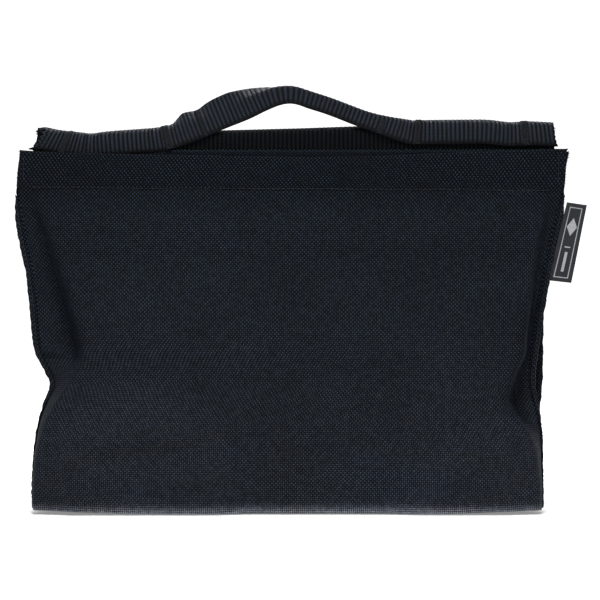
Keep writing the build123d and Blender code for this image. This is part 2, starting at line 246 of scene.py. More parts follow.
def cloth_shell(outer: Grid, threads: Grid, thickness: float) -> Patch:
    """Cloth of real thickness behind an outer surface.

    Args:
        outer: rows and columns of points.
        threads: thread coordinates of each point.
        thickness: in millimetres, on the side that rows crossed with columns point to.

    Returns:
        The closed patch.
    """
    normal = unit(np.cross(np.gradient(outer, axis=0), np.gradient(outer, axis=1)))
    return two_layers(outer, outer + normal * thickness, threads)


def tubes(lines: Grid, radii: Grid, sides: int = 5) -> Patch:
    """Round strands along many short lines.

    Args:
        lines: strands, points and coordinates.
        radii: one radius for each point of a strand.
        sides: faces round a strand.

    Returns:
        All the strands, with their ends closed.
    """
    count, steps = lines.shape[:2]
    along = unit(np.gradient(lines, axis=1))
    first = unit(np.cross(along, np.array([0.21, 0.35, 0.91])))
    second = np.cross(along, first)
    angles = np.linspace(0, math.tau, sides, endpoint=False)
    rings = lines[:, :, None] + radii[None, :, None, None] * (
        first[:, :, None] * np.cos(angles)[:, None] + second[:, :, None] * np.sin(angles)[:, None]
    )
    faces: list[tuple[int, ...]] = []
    around = np.arange(sides)
    for strand in range(count):
        base = strand * steps * sides
        for step in range(steps - 1):
            a = base + step * sides + around
            b = base + step * sides + np.roll(around, -1)
            faces += list(zip(a.tolist(), b.tolist(), (b + sides).tolist(), (a + sides).tolist()))
        faces.append(tuple((base + around[::-1]).tolist()))
        faces.append(tuple((base + (steps - 1) * sides + around).tolist()))
    length = np.cumsum(np.linalg.norm(np.gradient(lines, axis=1), axis=2), axis=1)
    threads = np.zeros((count, steps, sides, 3))
    threads[..., 0] = length[:, :, None]
    threads[..., 1] = angles
    return Patch(rings.reshape(-1, 3), faces, threads.reshape(-1, 3))


def stitches(line: Grid, out: Grid, pitch: float, length: float, radius: float) -> Patch:
    """A row of separate stitches.

    Args:
        line: points along the row, on the surface.
        out: the surface's direction at each point.
        pitch: from one stitch to the next.
        length: of one stitch.
        radius: of the thread.

    Returns:
        The stitches, each half sunk into the cloth at its ends.
    """
    along = travelled(line)
    middles = np.arange(pitch, along[-1] - pitch / 2, pitch)
    shares = np.array([-0.5, -0.3, 0, 0.3, 0.5])
    places = middles[:, None] + shares * length
    proud = radius * np.array([-0.9, 0.35, 0.6, 0.35, -0.9])
    lines = read_along(line, along, places) + unit(read_along(out, along, places)) * proud[:, None]
    return tubes(lines, radius * np.array([0.6, 1, 1, 1, 0.6]), 6)


def frays(line: Grid, out: Grid, seed: int, spacing: float, length: float) -> Patch:
    """Loose ends of yarn along a raw edge.

    Args:
        line: points along the edge.
        out: the way the yarns point at each of them.
        seed: which yarns.
        spacing: from one yarn to the next.
        length: of the longest ones.

    Returns:
        The yarns.
    """
    rng = np.random.default_rng(seed)
    along = travelled(line)
    count = max(2, int(along[-1] / spacing))
    places = np.sort(rng.uniform(0, along[-1], count))
    roots = read_along(line, along, places)
    way = unit(read_along(out, along, places) + rng.normal(0, 0.33, (count, 3)))
    curl = rng.normal(0, 0.3, (count, 3))
    reach = length * rng.uniform(0.25, 1, count) ** 1.5
    t = np.linspace(-0.25, 1, 6)[None, :, None]
    lines = roots[:, None] + reach[:, None, None] * (way[:, None] * t + curl[:, None] * t * t)
    return tubes(lines, np.array([0.24, 0.24, 0.22, 0.2, 0.18, 0.1]), 4)


# Materials


def linear(code: str) -> tuple[float, float, float, float]:
    """Turns an sRGB hex colour into a linear one.

    Args:
        code: such as "#1a2b3c".

    Returns:
        Red, green, blue and alpha.
    """
    parts = [int(code[i : i + 2], 16) / 255 for i in (1, 3, 5)]
    red, green, blue = (p / 12.92 if p <= 0.04045 else ((p + 0.055) / 1.055) ** 2.4 for p in parts)
    return red, green, blue, 1.0


def add_node(
    tree: bpy.types.NodeTree, kind: str, inputs: dict | None = None, **settings: object
) -> bpy.types.Node:
    """Adds a node with its settings and its links.

    Args:
        tree: the material's nodes.
        kind: the node's type.
        inputs: a value or another node's output for each input, by name or number.
        settings: properties of the node.

    Returns:
        The node.
    """
    made = tree.nodes.new(kind)
    for name, value in settings.items():
        setattr(made, name, value)
    for name, value in (inputs or {}).items():
        if isinstance(value, bpy.types.NodeSocket):
            tree.links.new(value, made.inputs[name])
        else:
            made.inputs[name].default_value = value
    return made


@dataclass(frozen=True)
class Finish:
    """What every finish has: a name, its shader's steady values, and a colour and relief of its own."""

    name: str
    roughness: float = 0.6
    specular: float = 0.5
    sheen: float = 0.0

    def make(self) -> bpy.types.Material:
        """Makes the material once, and then finds it again by its name.

        Returns:
            The material.
        """
        found = bpy.data.materials.get(self.name)
        if found:
            return found
        material = bpy.data.materials.new(self.name)
        material.use_nodes = True
        tree = material.node_tree
        shader = tree.nodes["Principled BSDF"]
        shader.inputs["Roughness"].default_value = self.roughness
        shader.inputs["Specular IOR Level"].default_value = self.specular
        shader.inputs["Sheen Weight"].default_value = self.sheen
        shader.inputs["Sheen Roughness"].default_value = 0.5
        colour, height, depth_mm = self.dress(tree)
        relief = {"Height": height, "Distance": depth_mm * MM, "Strength": 1.0}
        raised = add_node(tree, "ShaderNodeBump", relief)
        tree.links.new(colour, shader.inputs["Base Color"])
        tree.links.new(raised.outputs["Normal"], shader.inputs["Normal"])
        return material

    def dress(self, tree: bpy.types.NodeTree) -> tuple[Socket, Socket, float]:
        """Adds the nodes that give this finish its colour and relief.

        Args:
            tree: the material's nodes.

        Returns:
            Its colour, its height from 0 to 1, and how deep that height is in millimetres.
        """
        raise NotImplementedError


@dataclass(frozen=True)
class OxfordCloth(Finish):
    """Polyester oxford cloth, woven plain from thick textured yarn.

    Every crossing is a small pillow, with painted shade between crossings and a painted sheen on
    their crowns, so the cloth looks matt and speckled, a little lighter where a thread lies on top.
    Its pale colour paints a dusting of sand, paler raw edges, a painted reflection of the floor
    along the base's edge, and painted light and shade over the body.
    """

    warp: str = "#010203"
    weft: str = "#1c2531"
    # pale colour of sand and of the painted floor reflection
    dust_and_sheen: str = "#80858f"
    thread_mm: float = 1.5  # 1.2 in life, drawn a little coarser so that it shows
    slub_mm: float = 3.5  # length of the thick and thin stretches of the textured yarn
    fade_mm: float = 60.0  # width of the patches where the dye has faded

    def dress(self, tree: bpy.types.NodeTree) -> tuple[Socket, Socket, float]:
        """Draws the plain weave from the thread coordinates.

        Args:
            tree: the material's nodes.

        Returns:
            Its colour, its height and how deep that is.
        """
        coords = add_node(tree, "ShaderNodeAttribute", attribute_name=THREAD_COORDS)
        axes = add_node(tree, "ShaderNodeSeparateXYZ", {0: coords.outputs["Vector"]})
        waves = []
        for axis in ("X", "Y"):
            place = {0: axes.outputs[axis], 1: math.pi / self.thread_mm}
            turn = add_node(tree, "ShaderNodeMath", place, operation="MULTIPLY")
            waves.append(add_node(tree, "ShaderNodeMath", {0: turn.outputs[0]}, operation="SINE"))
        pair = {0: waves[0].outputs[0], 1: waves[1].outputs[0]}
        crossing = add_node(tree, "ShaderNodeMath", pair, operation="MULTIPLY")
        on_top = add_node(tree, "ShaderNodeMapRange", {0: crossing.outputs[0], 1: 0.0, 2: 0.35})
        size = add_node(tree, "ShaderNodeMath", {0: crossing.outputs[0]}, operation="ABSOLUTE")
        pillow = add_node(tree, "ShaderNodeMath", {0: size.outputs[0], 1: 0.6}, operation="POWER")
        # How light each crossing is: painted shade at its edges and a painted sheen on its crown, then
        # its yarn's thickness and the cloth's fading.
        shade = {0: pillow.outputs[0], 1: 0.23, 2: 1.0, 3: 0.0, 4: 1.72}
        light = add_node(tree, "ShaderNodeMapRange", shade)
        space = add_node(tree, "ShaderNodeTexCoord")
        for size_mm, detail, spread in (
            (self.slub_mm, 2.0, {1: 0.36, 2: 0.64, 3: 0.74, 4: 1.26}),
            (self.fade_mm, 3.0, {1: 0.3, 2: 0.7, 3: 0.86, 4: 1.12}),
        ):
            grain = {"Vector": space.outputs["Object"], "Scale": 1 / (size_mm * MM), "Detail": detail}
            cloudy = add_node(tree, "ShaderNodeTexNoise", grain)
            uneven = add_node(tree, "ShaderNodeMapRange", {0: cloudy.outputs[0], **spread})
            pair = {0: light.outputs[0], 1: uneven.outputs[0]}
            light = add_node(tree, "ShaderNodeMath", pair, operation="MULTIPLY")
        dyes = {0: on_top.outputs[0], 6: linear(self.warp), 7: linear(self.weft)}
        dyed = add_node(tree, "ShaderNodeMix", dyes, data_type="RGBA")
        # The Z share mixes in the pale colour: sand, fraying, and painted light and shade.
        wear_and_painted_light = {0: axes.outputs["Z"], 6: dyed.outputs[2], 7: linear(self.dust_and_sheen)}
        dusted_and_lit = add_node(tree, "ShaderNodeMix", wear_and_painted_light, data_type="RGBA")
        tint = {0: dusted_and_lit.outputs[2], "Scale": light.outputs[0]}
        toned = add_node(tree, "ShaderNodeVectorMath", tint, operation="SCALE")
        return toned.outputs[0], pillow.outputs[0], 0.22


@dataclass(frozen=True)
class RibbedWebbing(Finish):
    """Nylon webbing of bright filament: round ribs across, each of many fine yarns.

    The ribs' crowns are coloured with a low painted satin sheen and the grooves between them with
    painted shade; the selvedges are darker, by their own flatter weave and by painted shade.
    """

    crown: str = "#262b32"
    groove: str = "#040506"
    rib_mm: float = 3.2
    yarn_mm: float = 1.0  # half of that in life, which would be too fine to show

    def dress(self, tree: bpy.types.NodeTree) -> tuple[Socket, Socket, float]:
        """Darkens the grooves and raises the yarns.

        Args:
            tree: the material's nodes.

        Returns:
            Its colour, its height and how deep that is.
        """
        coords = add_node(tree, "ShaderNodeAttribute", attribute_name=THREAD_COORDS)
        axes = add_node(tree, "ShaderNodeSeparateXYZ", {0: coords.outputs["Vector"]})
        rounds = []
        for axis, size in (("X", self.rib_mm), ("Y", self.yarn_mm)):
            place = {0: axes.outputs[axis], 1: math.pi / size}
            turn = add_node(tree, "ShaderNodeMath", place, operation="MULTIPLY")
            wave = add_node(tree, "ShaderNodeMath", {0: turn.outputs[0]}, operation="SINE")
            rounds.append(add_node(tree, "ShaderNodeMath", {0: wave.outputs[0]}, operation="ABSOLUTE"))
        crown, strand = rounds
        stacked = {0: strand.outputs[0], 1: 0.55, 2: crown.outputs[0]}
        height = add_node(tree, "ShaderNodeMath", stacked, operation="MULTIPLY_ADD")
        # Painted shade in the grooves and a painted satin sheen on the crowns.
        lit = add_node(tree, "ShaderNodeMapRange", {0: height.outputs[0], 1: 0.8, 2: 1.38})
        dyes = {0: lit.outputs[0], 6: linear(self.groove), 7: linear(self.crown)}
        dyed = add_node(tree, "ShaderNodeMix", dyes, data_type="RGBA")
        # Darker selvedges from the Z share: their own flatter weave, and painted shade.
        wear_and_painted_light = {0: axes.outputs["Z"], 6: dyed.outputs[2], 7: linear(self.groove)}
        edged = add_node(tree, "ShaderNodeMix", wear_and_painted_light, data_type="RGBA")
        return edged.outputs[2], height.outputs[0], 0.25


@dataclass(frozen=True)
class TwistedThread(Finish):
    """Bonded polyester sewing thread: two-ply, so it shows a fine slanting twist and a soft shine."""

    dark: str = "#0c0e11"
    light: str = "#22262b"
    twist_mm: float = 0.9

    def dress(self, tree: bpy.types.NodeTree) -> tuple[Socket, Socket, float]:
        """Draws the twist round each strand.

        Args:
            tree: the material's nodes.

        Returns:
            Its colour, its height and how deep that is.
        """
        coords = add_node(tree, "ShaderNodeAttribute", attribute_name=THREAD_COORDS)
        axes = add_node(tree, "ShaderNodeSeparateXYZ", {0: coords.outputs["Vector"]})
        helix = {0: axes.outputs["X"], 1: math.tau / self.twist_mm, 2: axes.outputs["Y"]}
        along = add_node(tree, "ShaderNodeMath", helix, operation="MULTIPLY_ADD")
        wave = add_node(tree, "ShaderNodeMath", {0: along.outputs[0]}, operation="SINE")
        ply = add_node(tree, "ShaderNodeMapRange", {0: wave.outputs[0], 1: -1.0, 2: 1.0})
        dyes = {0: ply.outputs[0], 6: linear(self.dark), 7: linear(self.light)}
        dyed = add_node(tree, "ShaderNodeMix", dyes, data_type="RGBA")
        return dyed.outputs[2], ply.outputs[0], 0.08


@dataclass(frozen=True)
class SpeckledFinish(Finish):
    """A finish told by its grain: two colours that a fine noise mixes, raised by the same noise."""

    dark: str = "#0d0e10"
    light: str = "#1b1d20"
    grain_mm: float = 1.0
    depth_mm: float = 0.1

    def dress(self, tree: bpy.types.NodeTree) -> tuple[Socket, Socket, float]:
        """Mixes the two colours by the grain.

        Args:
            tree: the material's nodes.

        Returns:
            Its colour, its height and how deep that is.
        """
        space = add_node(tree, "ShaderNodeTexCoord")
        grain = {"Vector": space.outputs["Object"], "Scale": 1 / (self.grain_mm * MM), "Detail": 5.0}
        speckle = add_node(tree, "ShaderNodeTexNoise", grain)
        spread = add_node(tree, "ShaderNodeMapRange", {0: speckle.outputs[0], 1: 0.35, 2: 0.65})
        dyes = {0: spread.outputs[0], 6: linear(self.dark), 7: linear(self.light)}
        dyed = add_node(tree, "ShaderNodeMix", dyes, data_type="RGBA")
        return dyed.outputs[2], spread.outputs[0], self.depth_mm


# Coated polyester oxford: matt, almost without a highlight.
OXFORD = OxfordCloth("oxford_cloth", roughness=0.75, specular=0.06)
# Nylon webbing in a bright filament: a low painted satin sheen along each rib.
WEBBING = RibbedWebbing("handle_webbing", 0.5, 0.08, crown="#222934", groove="#010102")
# The same webbing along the ridge, duller and coloured darker as painted shade, for it lies under the
# arch and behind the mouths.
SHADED_RIDGE_WEBBING = RibbedWebbing("ridge_webbing_nylon", 0.7, 0.03, crown="#121518", groove="#010203")
# Bonded polyester thread: round, tight and a little shinier than the cloth.
THREAD = TwistedThread("bonded_thread", roughness=0.5, specular=0.15)
# Looped pile and moulded hooks: a fuzzy mat that gives back almost no light.
PILE = SpeckledFinish(
    "napped_nylon_tape", 0.95, 0.1, 0.2, dark="#08090b", light="#1a1c20", depth_mm=0.4
)
# Woven polyester tape, thinner and smoother than the shell.
ZIP_TAPE = SpeckledFinish("woven_zip_tape", 0.8, 0.2, dark="#0e1013", light="#16191d", grain_mm=0.6)
# Bent nylon filament, glossy on its bends.
ZIP_COIL = SpeckledFinish("nylon_filament", 0.35, 0.5, dark="#101113", light="#18191c", grain_mm=0.8)
# Die-cast zinc under black paint, orange-peeled and a little glossy.
PAINTED_ZINC = SpeckledFinish(
    "painted_zinc", 0.38, 0.5, dark="#141517", light="#1d1e21", grain_mm=1.2, depth_mm=0.03
)
# Blown polythene film: milky, creased and half glossy.
SACK_FILM = SpeckledFinish(
    "polythene_film", 0.3, 0.5, dark="#8d8e8b", light="#a9aaa6", grain_mm=18, depth_mm=0.5
)
# Washed dry sand: matt grains of tan, cream and brown.
DRY_SAND = SpeckledFinish(
    "dry_sand", 0.95, 0.2, dark="#8a7455", light="#c9b68f", grain_mm=0.9, depth_mm=0.4
)
# Satin polyester ribbon, a smooth dark grey with a soft shine.
RIBBON = SpeckledFinish(
    "satin_ribbon", 0.5, 0.15, dark="#1f2125", light="#282a2e", grain_mm=0.7, depth_mm=0.04
)
# Screen ink on ribbon: flat off-white, thin where the ribbon's weave shows through.
INK = SpeckledFinish(
    "screen_ink", 0.7, 0.1, dark="#8f9194", light="#b4b6b8", grain_mm=0.5, depth_mm=0.03
)
# Painted studio floor, plain and pale.
FLOOR_PAINT = SpeckledFinish(
    "matt_floor_paint", 0.95, 0.1, dark="#f3f3f3", light="#f6f6f6", grain_mm=40, depth_mm=0.01
)
# The same paint further out and up the wall, a material of its own because it glows more.
WALL_PAINT = SpeckledFinish(
    "matt_wall_paint", 0.95, 0.1, dark="#f3f3f3", light="#f6f6f6", grain_mm=40, depth_mm=0.01
)


def add_piece(name: str, patch: Patch, finish: Finish, smooth: bool = True) -> bpy.types.Object:
    """Makes a mesh object of a patch.

    Args:
        name: of the piece.
        patch: its points, faces and threads.
        finish: what it is made of.
        smooth: whether its faces are shaded as one surface.

    Returns:
        The object, in the frame of the CAD.
    """
    mesh = bpy.data.meshes.new(name)
    mesh.from_pydata((patch.points * MM).tolist(), [], patch.faces)
    threads = mesh.attributes.new(THREAD_COORDS, "FLOAT_VECTOR", "POINT")
    threads.data.foreach_set("vector", patch.threads.astype(np.float32).ravel())
    shape = bmesh.new()
    shape.from_mesh(mesh)
    bmesh.ops.recalc_face_normals(shape, faces=shape.faces)
    shape.to_mesh(mesh)
    shape.free()
    mesh.polygons.foreach_set("use_smooth", [smooth] * len(mesh.polygons))
    mesh.materials.append(finish.make())
    made = bpy.data.objects.new(name, mesh)
    bpy.context.scene.collection.objects.link(made)
    LOG.info("%s: %d points", name, len(patch.points))
    return made


def dress_node(node: str, finish: Finish) -> None:
    """Gives a CAD node that stays its real material.

    Args:
        node: its name.
        finish: what it is made of.
    """
    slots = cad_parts[node].material_slots
    if not slots:
        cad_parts[node].data.materials.append(finish.make())
    for one in slots:
        one.material = finish.make()


# Pouches


@dataclass(frozen=True)
class Section:
    """One level cut through the outer cloth, from the left seam to the right one.

    Across is measured from the middle of the bag, and depth outwards from between the pouches.
    Each side goes in from its seam to a valley and then out to the edge of the front face.
    """

    height: float
    seam_depth: float
    left: tuple[float, float, float, float]  # seam, valley, the valley's depth, edge
    front: float
    right: tuple[float, float, float, float]

    def row(self) -> list[float]:
        """All its numbers in a line, for blending with its neighbours."""
        return [self.seam_depth, *self.left, self.front, *self.right]


FRONT_SECTIONS = (
    Section(266, 11.4, (-198.5, -190, 11.5, -182), 11.6, (203, 193, 11.5, 184)),
    Section(252, 11.4, (-200.5, -192, 11.5, -184), 11.6, (202.5, 193, 11.5, 184)),
    Section(238, 11.0, (-201.5, -193, 11.0, -185), 12.0, (201.5, 193, 11.0, 186)),
    Section(222, 10.0, (-200.0, -188, 10.0, -183), 15.4, (198.5, 191, 10.2, 186)),
    Section(205, 10.6, (-197.0, -182, 10.0, -177), 20.0, (194, 187, 10.2, 182)),
    Section(175, 12.3, (-190.5, -173, 10.4, -167.5), 26.0, (187.5, 181, 11.0, 177)),
    Section(150, 14.0, (-187.5, -165, 11.4, -159.5), 31.0, (183, 177.5, 12.0, 174)),
    Section(127, 15.5, (-185.5, -158, 13.0, -152), 35.5, (179.5, 174.5, 13.5, 171)),
    Section(115, 16.3, (-183, -157, 18.0, -150.5), 38.0, (177.5, 174, 15.0, 170.5)),
    Section(105, 17.2, (-177, -163, 26.0, -154), 39.5, (176, 169, 18.0, 164)),
    Section(94, 18.0, (-171.5, -167, 28.0, -160), 41.0, (175.5, 165, 19.0, 160)),
    Section(83, 19.0, (-177.3, -174.3, 31.0, -169), 43.0, (178, 162, 20.0, 156)),
    Section(70, 19.8, (-182.5, -180.2, 33.0, -176), 44.5, (181.5, 169, 24.0, 163)),
    Section(60, 20.5, (-184.6, -183.2, 35.0, -180), 45.5, (183, 178.5, 31.0, 173)),
    Section(45, 21.5, (-186.7, -185.8, 37.0, -184), 46.5, (183.5, 181.5, 35.0, 178)),
    Section(20, 23.0, (-187.8, -187.3, 39.0, -186), 47.2, (183.5, 183, 38.0, 180)),
    Section(4, 24.0, (-187.8, -187.3, 39.0, -186), 46.6, (183.5, 183, 38.0, 180)),
)


def straight_sided(cut: Section) -> Section:
    """The same cut with a right-hand seam that runs nearly straight down to the base.

    Args:
        cut: one of the front pouch's.

    Returns:
        The one of the rear pouch.
    """
    seam = max(184.0, 201 - (FOLD_HEIGHT - cut.height) * 0.21)
    return replace(cut, right=(seam, seam - 7.0, cut.right[2], seam - 13.0))


REAR_SECTIONS = tuple(straight_sided(cut) for cut in FRONT_SECTIONS)


@dataclass
class SandPouch:
    """One pouch of oxford cloth, zipped under a turned hem and filled with a sack of sand."""

    side: Side
    sections: tuple[Section, ...]
    seed: int
    mouth: Points  # height of the mouth's edge along the hem
    panel_top: Points  # height of the inner cloth's top edge
    cloth: float = 0.9  # thickness of the oxford
    hem_inner: float = 9.7  # inner face of the hem, from the middle of the bag
    base_seam: float = 24.3  # where the outer and the inner cloth meet under the base
    hem_lean: float = 1.6  # how far the mouth's edge stands off outwards
    edge_radius: float = 6.0  # of the base's front and back edges
    corner_lift: float = 2.2  # of the base's corners off the floor
    seam_width: float = 4.0
    hem_stitch: tuple[float, float, float] = (3.6, 2.9, 0.36)  # pitch, length and radius
    side_stitch: tuple[float, float, float] = (3.4, 2.7, 0.34)
    columns: int = 190  # of points across the cloth
    base_rows: int = 14  # of points under the base
    soft: float = 1.7  # rounding of the upright edges
    blend_start: float = 233.0  # heights of a band round the fold of the hem
    blend_end: float = 243.0
    push: float = 2.5  # pressure of the sand in the simulation
    frames: int = 20  # length of the simulation
    sim_rows: int = 64  # points of the simulated cloth
    sim_columns: int = 100
    cloth_settings: tuple[tuple[str, float], ...] = (
        ("quality", 6), ("mass", 0.3), ("tension_stiffness", 30.0), ("compression_stiffness", 12.0),
        ("shear_stiffness", 8.0), ("bending_stiffness", 0.5), ("shrink_min", -0.03),
    )

    @property
    def pouch_body(self) -> str:
        """The CAD body of the pouch."""
        return f"{self.side.word}_pouch"

    @property
    def flap_body(self) -> str:
        """The CAD body of its mouth."""
        return f"{self.side.word}_mouth_flap"

    def placed(self, across: Grid, depth: Grid, height: Grid) -> Grid:
        """Points in the frame of the CAD, from places on the bag."""
        across, depth, height = np.broadcast_arrays(across, depth, height)
        return np.stack([across + BAG_MIDDLE, depth * self.side.value, height], axis=-1)

    def cut(self, height: Grid) -> Grid:
        """The sections' numbers at some heights, blended between the given ones.

        Args:
            height: where to read them.

        Returns:
            A row of numbers for each height, in the order of Section.row().
        """
        levels = [cut.height for cut in self.sections][::-1]
        numbers = [cut.row() for cut in self.sections][::-1]
        return np.stack(
            [through(tuple(zip(levels, values)), height, 3.0) for values in zip(*numbers)], axis=-1
        )

    def lift(self, across: Grid, height: Grid) -> Grid:
        """How far the base rises off the floor towards its corners."""
        return self.corner_lift * ease(95, 188, np.abs(across)) * ease(60, 5, height)

    @staticmethod
    def back_depth(height: Grid) -> Grid:
        """Depth of the inner cloth's flat part: the two pouches lean apart a little towards the ridge."""
        return 1.5 + 4.8 * height / FOLD_HEIGHT

    def outline(self, numbers: Grid) -> Grid:
        """One level line of the outer cloth, with its corners rounded and its points evenly spaced.

        Args:
            numbers: from cut().

        Returns:
            Across and depth of each column.
        """
        seam_depth, ls, lv, lvd, le, front, rs, rv, rvd, re = numbers
        corners = np.array(
            [
                (ls, seam_depth),
                (lv, lvd),
                (le, front - 1.2),
                (le + 22, front),
                (re - 22, front),
                (re, front - 1.2),
                (rv, rvd),
                (rs, seam_depth),
            ]
        )
        line = respaced(corners, 700)
        step = np.linalg.norm(line[1] - line[0])
        reach = int(3 * self.soft / step)
        kernel = np.exp(-0.5 * (np.arange(-reach, reach + 1) * step / self.soft) ** 2)
        kernel /= kernel.sum()
        padded = np.vstack(
            [2 * line[0] - line[reach:0:-1], line, 2 * line[-1] - line[-2 : -reach - 2 : -1]]
        )
        rounded = np.stack([np.convolve(padded[:, k], kernel, "valid") for k in (0, 1)], axis=1)
        return respaced(rounded, self.columns)

    def heaped(self, across: Grid, height: Grid) -> Grid:
        """Where the sand has settled in heaps behind the face.

        Args:
            across: places from the middle of the bag.
            height: heights of those places.

        Returns:
            From 0 to about 1 at each place.
        """
        place = across if self.side is Side.FRONT else -across
        left = np.hypot((place + 112) / 76, (height - 22) / 72)
        right = np.hypot((place - 185) / 112, (height + 8) / 76)
        return ease(1.1, 0.72, left) + 0.78 * ease(1.1, 0.76, right)

    def relief(self, across: Grid, height: Grid) -> Grid:
        """How far the settled sand pushes the face out, with the cloth's own unevenness.

        Args:
            across: places from the middle of the bag.
            height: heights of those places.

        Returns:
            Millimetres outwards at each place.
        """
        place = across if self.side is Side.FRONT else -across
        heap = 9.0 * self.heaped(across, height)
        hollow = -4.5 * ease(1.3, 0.3, np.hypot((place - 30) / 90, (height - 66) / 50))
        dent = -2.5 * ease(1.0, 0.2, np.hypot((place + 100) / 60, (height - 40) / 16))
        pleat_at = place + 92 - 0.55 * (height - 118)
        pleat = 1.1 * np.exp(-((pleat_at / 6.0) ** 2)) * ease(95, 112, height) * ease(178, 140, height)
        slack = 0.9 * ripple(across, height, self.seed, 85)
        slack = slack + 0.4 * ripple(across, height * 0.6, self.seed + 1, 32)
        below = ease(FOLD_HEIGHT, FOLD_HEIGHT - 40, height)
        return (heap + hollow + dent) * ease(150, 100, height) + (slack + pleat) * below

    def waist_creases(self, across: Grid, height: float) -> Grid:
        """Short sharp folds that run in from the side seams, where the empty part starts to bend.

        Args:
            across: places from the middle of the bag.
            height: their one height.

        Returns:
            Millimetres outwards at each place.
        """
        folds = 0.0 * across
        for hand, level, slope, reach, depth in (
            (-1, 121.0, 0.16, 44.0, 2.4), (-1, 111.0, 0.05, 30.0, 1.4), (1, 131.0, 0.5, 26.0, 1.8),
        ):
            inward = 194 - hand * across
            above = height - (level - slope * inward)
            fold = np.exp(-((above / 2.6) ** 2)) - np.exp(-(((above + 5) / 3.2) ** 2))
            folds = folds + depth * fold * ease(reach, reach * 0.4, inward)
        return folds

    def face_depth(self, across: Grid, height: float) -> Grid:
        """Depth of the outer cloth's middle part.

        Args:
            across: places from the middle of the bag.
            height: their one height.

        Returns:
            Millimetres from between the pouches at each place.
        """
        numbers = self.cut(np.array([height]))[0]
        corners = [numbers[1], numbers[2], numbers[4], numbers[4] + 20, numbers[9] - 20, numbers[9]]
        depths = [numbers[0], numbers[3], numbers[5] - 1.2, numbers[5], numbers[5], numbers[5] - 1.2]
        flat = np.interp(across, [*corners, numbers[7], numbers[6]], [*depths, numbers[8], numbers[0]])
        return flat + np.minimum(self.relief(across, height + 0 * across), 0)

    def outer_grid(self) -> tuple[Grid, Grid]:
        """The outer cloth from inside the hem, over the mouth, down the front and under the base.

        Returns:
            Its points and its thread coordinates, by rows and columns.
        """
        at_hem = np.linspace(0, 1, 13)
        body = np.linspace(FOLD_HEIGHT - 2.4, self.edge_radius, 96)
        hem_cuts = [self.outline(n) for n in self.cut(FOLD_HEIGHT + HEM_HEIGHT * at_hem)]
        rows = []

        def hem_row(share: float, cut: Grid, depth: float, drop: float) -> None:
            """Adds a row of the hem.

            Args:
                share: its place, from 0 at the fold to 1 at the mouth.
                cut: the outline there.
                depth: of this face of the hem.
                drop: how far its top lies under the mouth's edge.
            """
            across = cut[:, 0]
            top = through(self.mouth, across, 5.0) - drop
            wave = (self.hem_lean + 0.6 * (1 + ripple(across, 0 * across, self.seed + 5, 62))) * share
            lean = wave + 0.25 * ripple(across, 0 * across, self.seed + 6, 24) * share
            height = FOLD_HEIGHT + share * (top - FOLD_HEIGHT)
            rows.append(self.placed(across, depth + lean, height))

        roll = (HEM_FACE - self.hem_inner) / 2
        for share, cut in list(zip(at_hem, hem_cuts))[1:]:
            hem_row(share, cut, self.hem_inner, roll)
        for turn in np.linspace(0, math.pi, 6)[1:-1]:
            middle = HEM_FACE - roll
            hem_row(1.0, hem_cuts[-1], middle - roll * math.cos(turn), roll * (1 - math.sin(turn)))
        for share, cut in list(zip(at_hem, hem_cuts))[::-1]:
            groove = 0.35 * math.exp(-((share * HEM_HEIGHT / 1.6) ** 2))
            hem_row(share, cut, HEM_FACE - groove, roll)

        for height, numbers in zip(body, self.cut(body)):
            cut = self.outline(numbers)
            away = np.minimum(cut[:, 0] - cut[0, 0], cut[-1, 0] - cut[:, 0])
            depth = cut[:, 1] + self.relief(cut[:, 0], height) * ease(6, 34, away)
            depth = depth + self.waist_creases(cut[:, 0], height) * ease(0, 5, away)
            rows.append(self.placed(cut[:, 0], depth, height + self.lift(cut[:, 0], height)))

        first = len(rows) - len(body)
        rows[first:] = list(self.settled(np.stack(rows[first:])))
        last = rows[-1]
        depth_now = np.abs(last[:, 1])
        run = depth_now - self.base_seam
        under = np.linspace(0, 1, self.base_rows + 1)[1:]
        for share in under:
            row = last.copy()
            row[:, 1] = (depth_now - run * share) * self.side.value
            row[:, 2] = last[:, 2] - self.edge_fall(run * share)
            rows.append(row)
        grid = np.stack(rows)
        down = travelled(grid[:, self.columns // 2])
        under = np.concatenate([np.zeros(len(rows) - self.base_rows), under])
        # Painted reflection of the white floor where the cloth turns under the base's edge.
        painted_floor_sheen = 0.75 * np.exp(-((grid[..., 2] / 4.5) ** 2)) * ease(0.5, 0.12, under)[:, None]
        along = np.linspace(-215, 215, self.columns)
        return grid, thread_grid(grid, along, down[:, None], painted_floor_sheen + self.dust(grid))

    def edge_fall(self, gone: Grid) -> Grid:
        """How far the cloth drops on its way round the base's edge.

        Args:
            gone: how far it has gone under the base.

        Returns:
            Millimetres down, until it lies flat just off the floor.
        """
        turned = np.clip(gone, 0, self.edge_radius)
        drop = np.sqrt(np.clip(self.edge_radius**2 - (self.edge_radius - turned) ** 2, 0, None))
        return np.minimum(drop, self.edge_radius - 0.8)

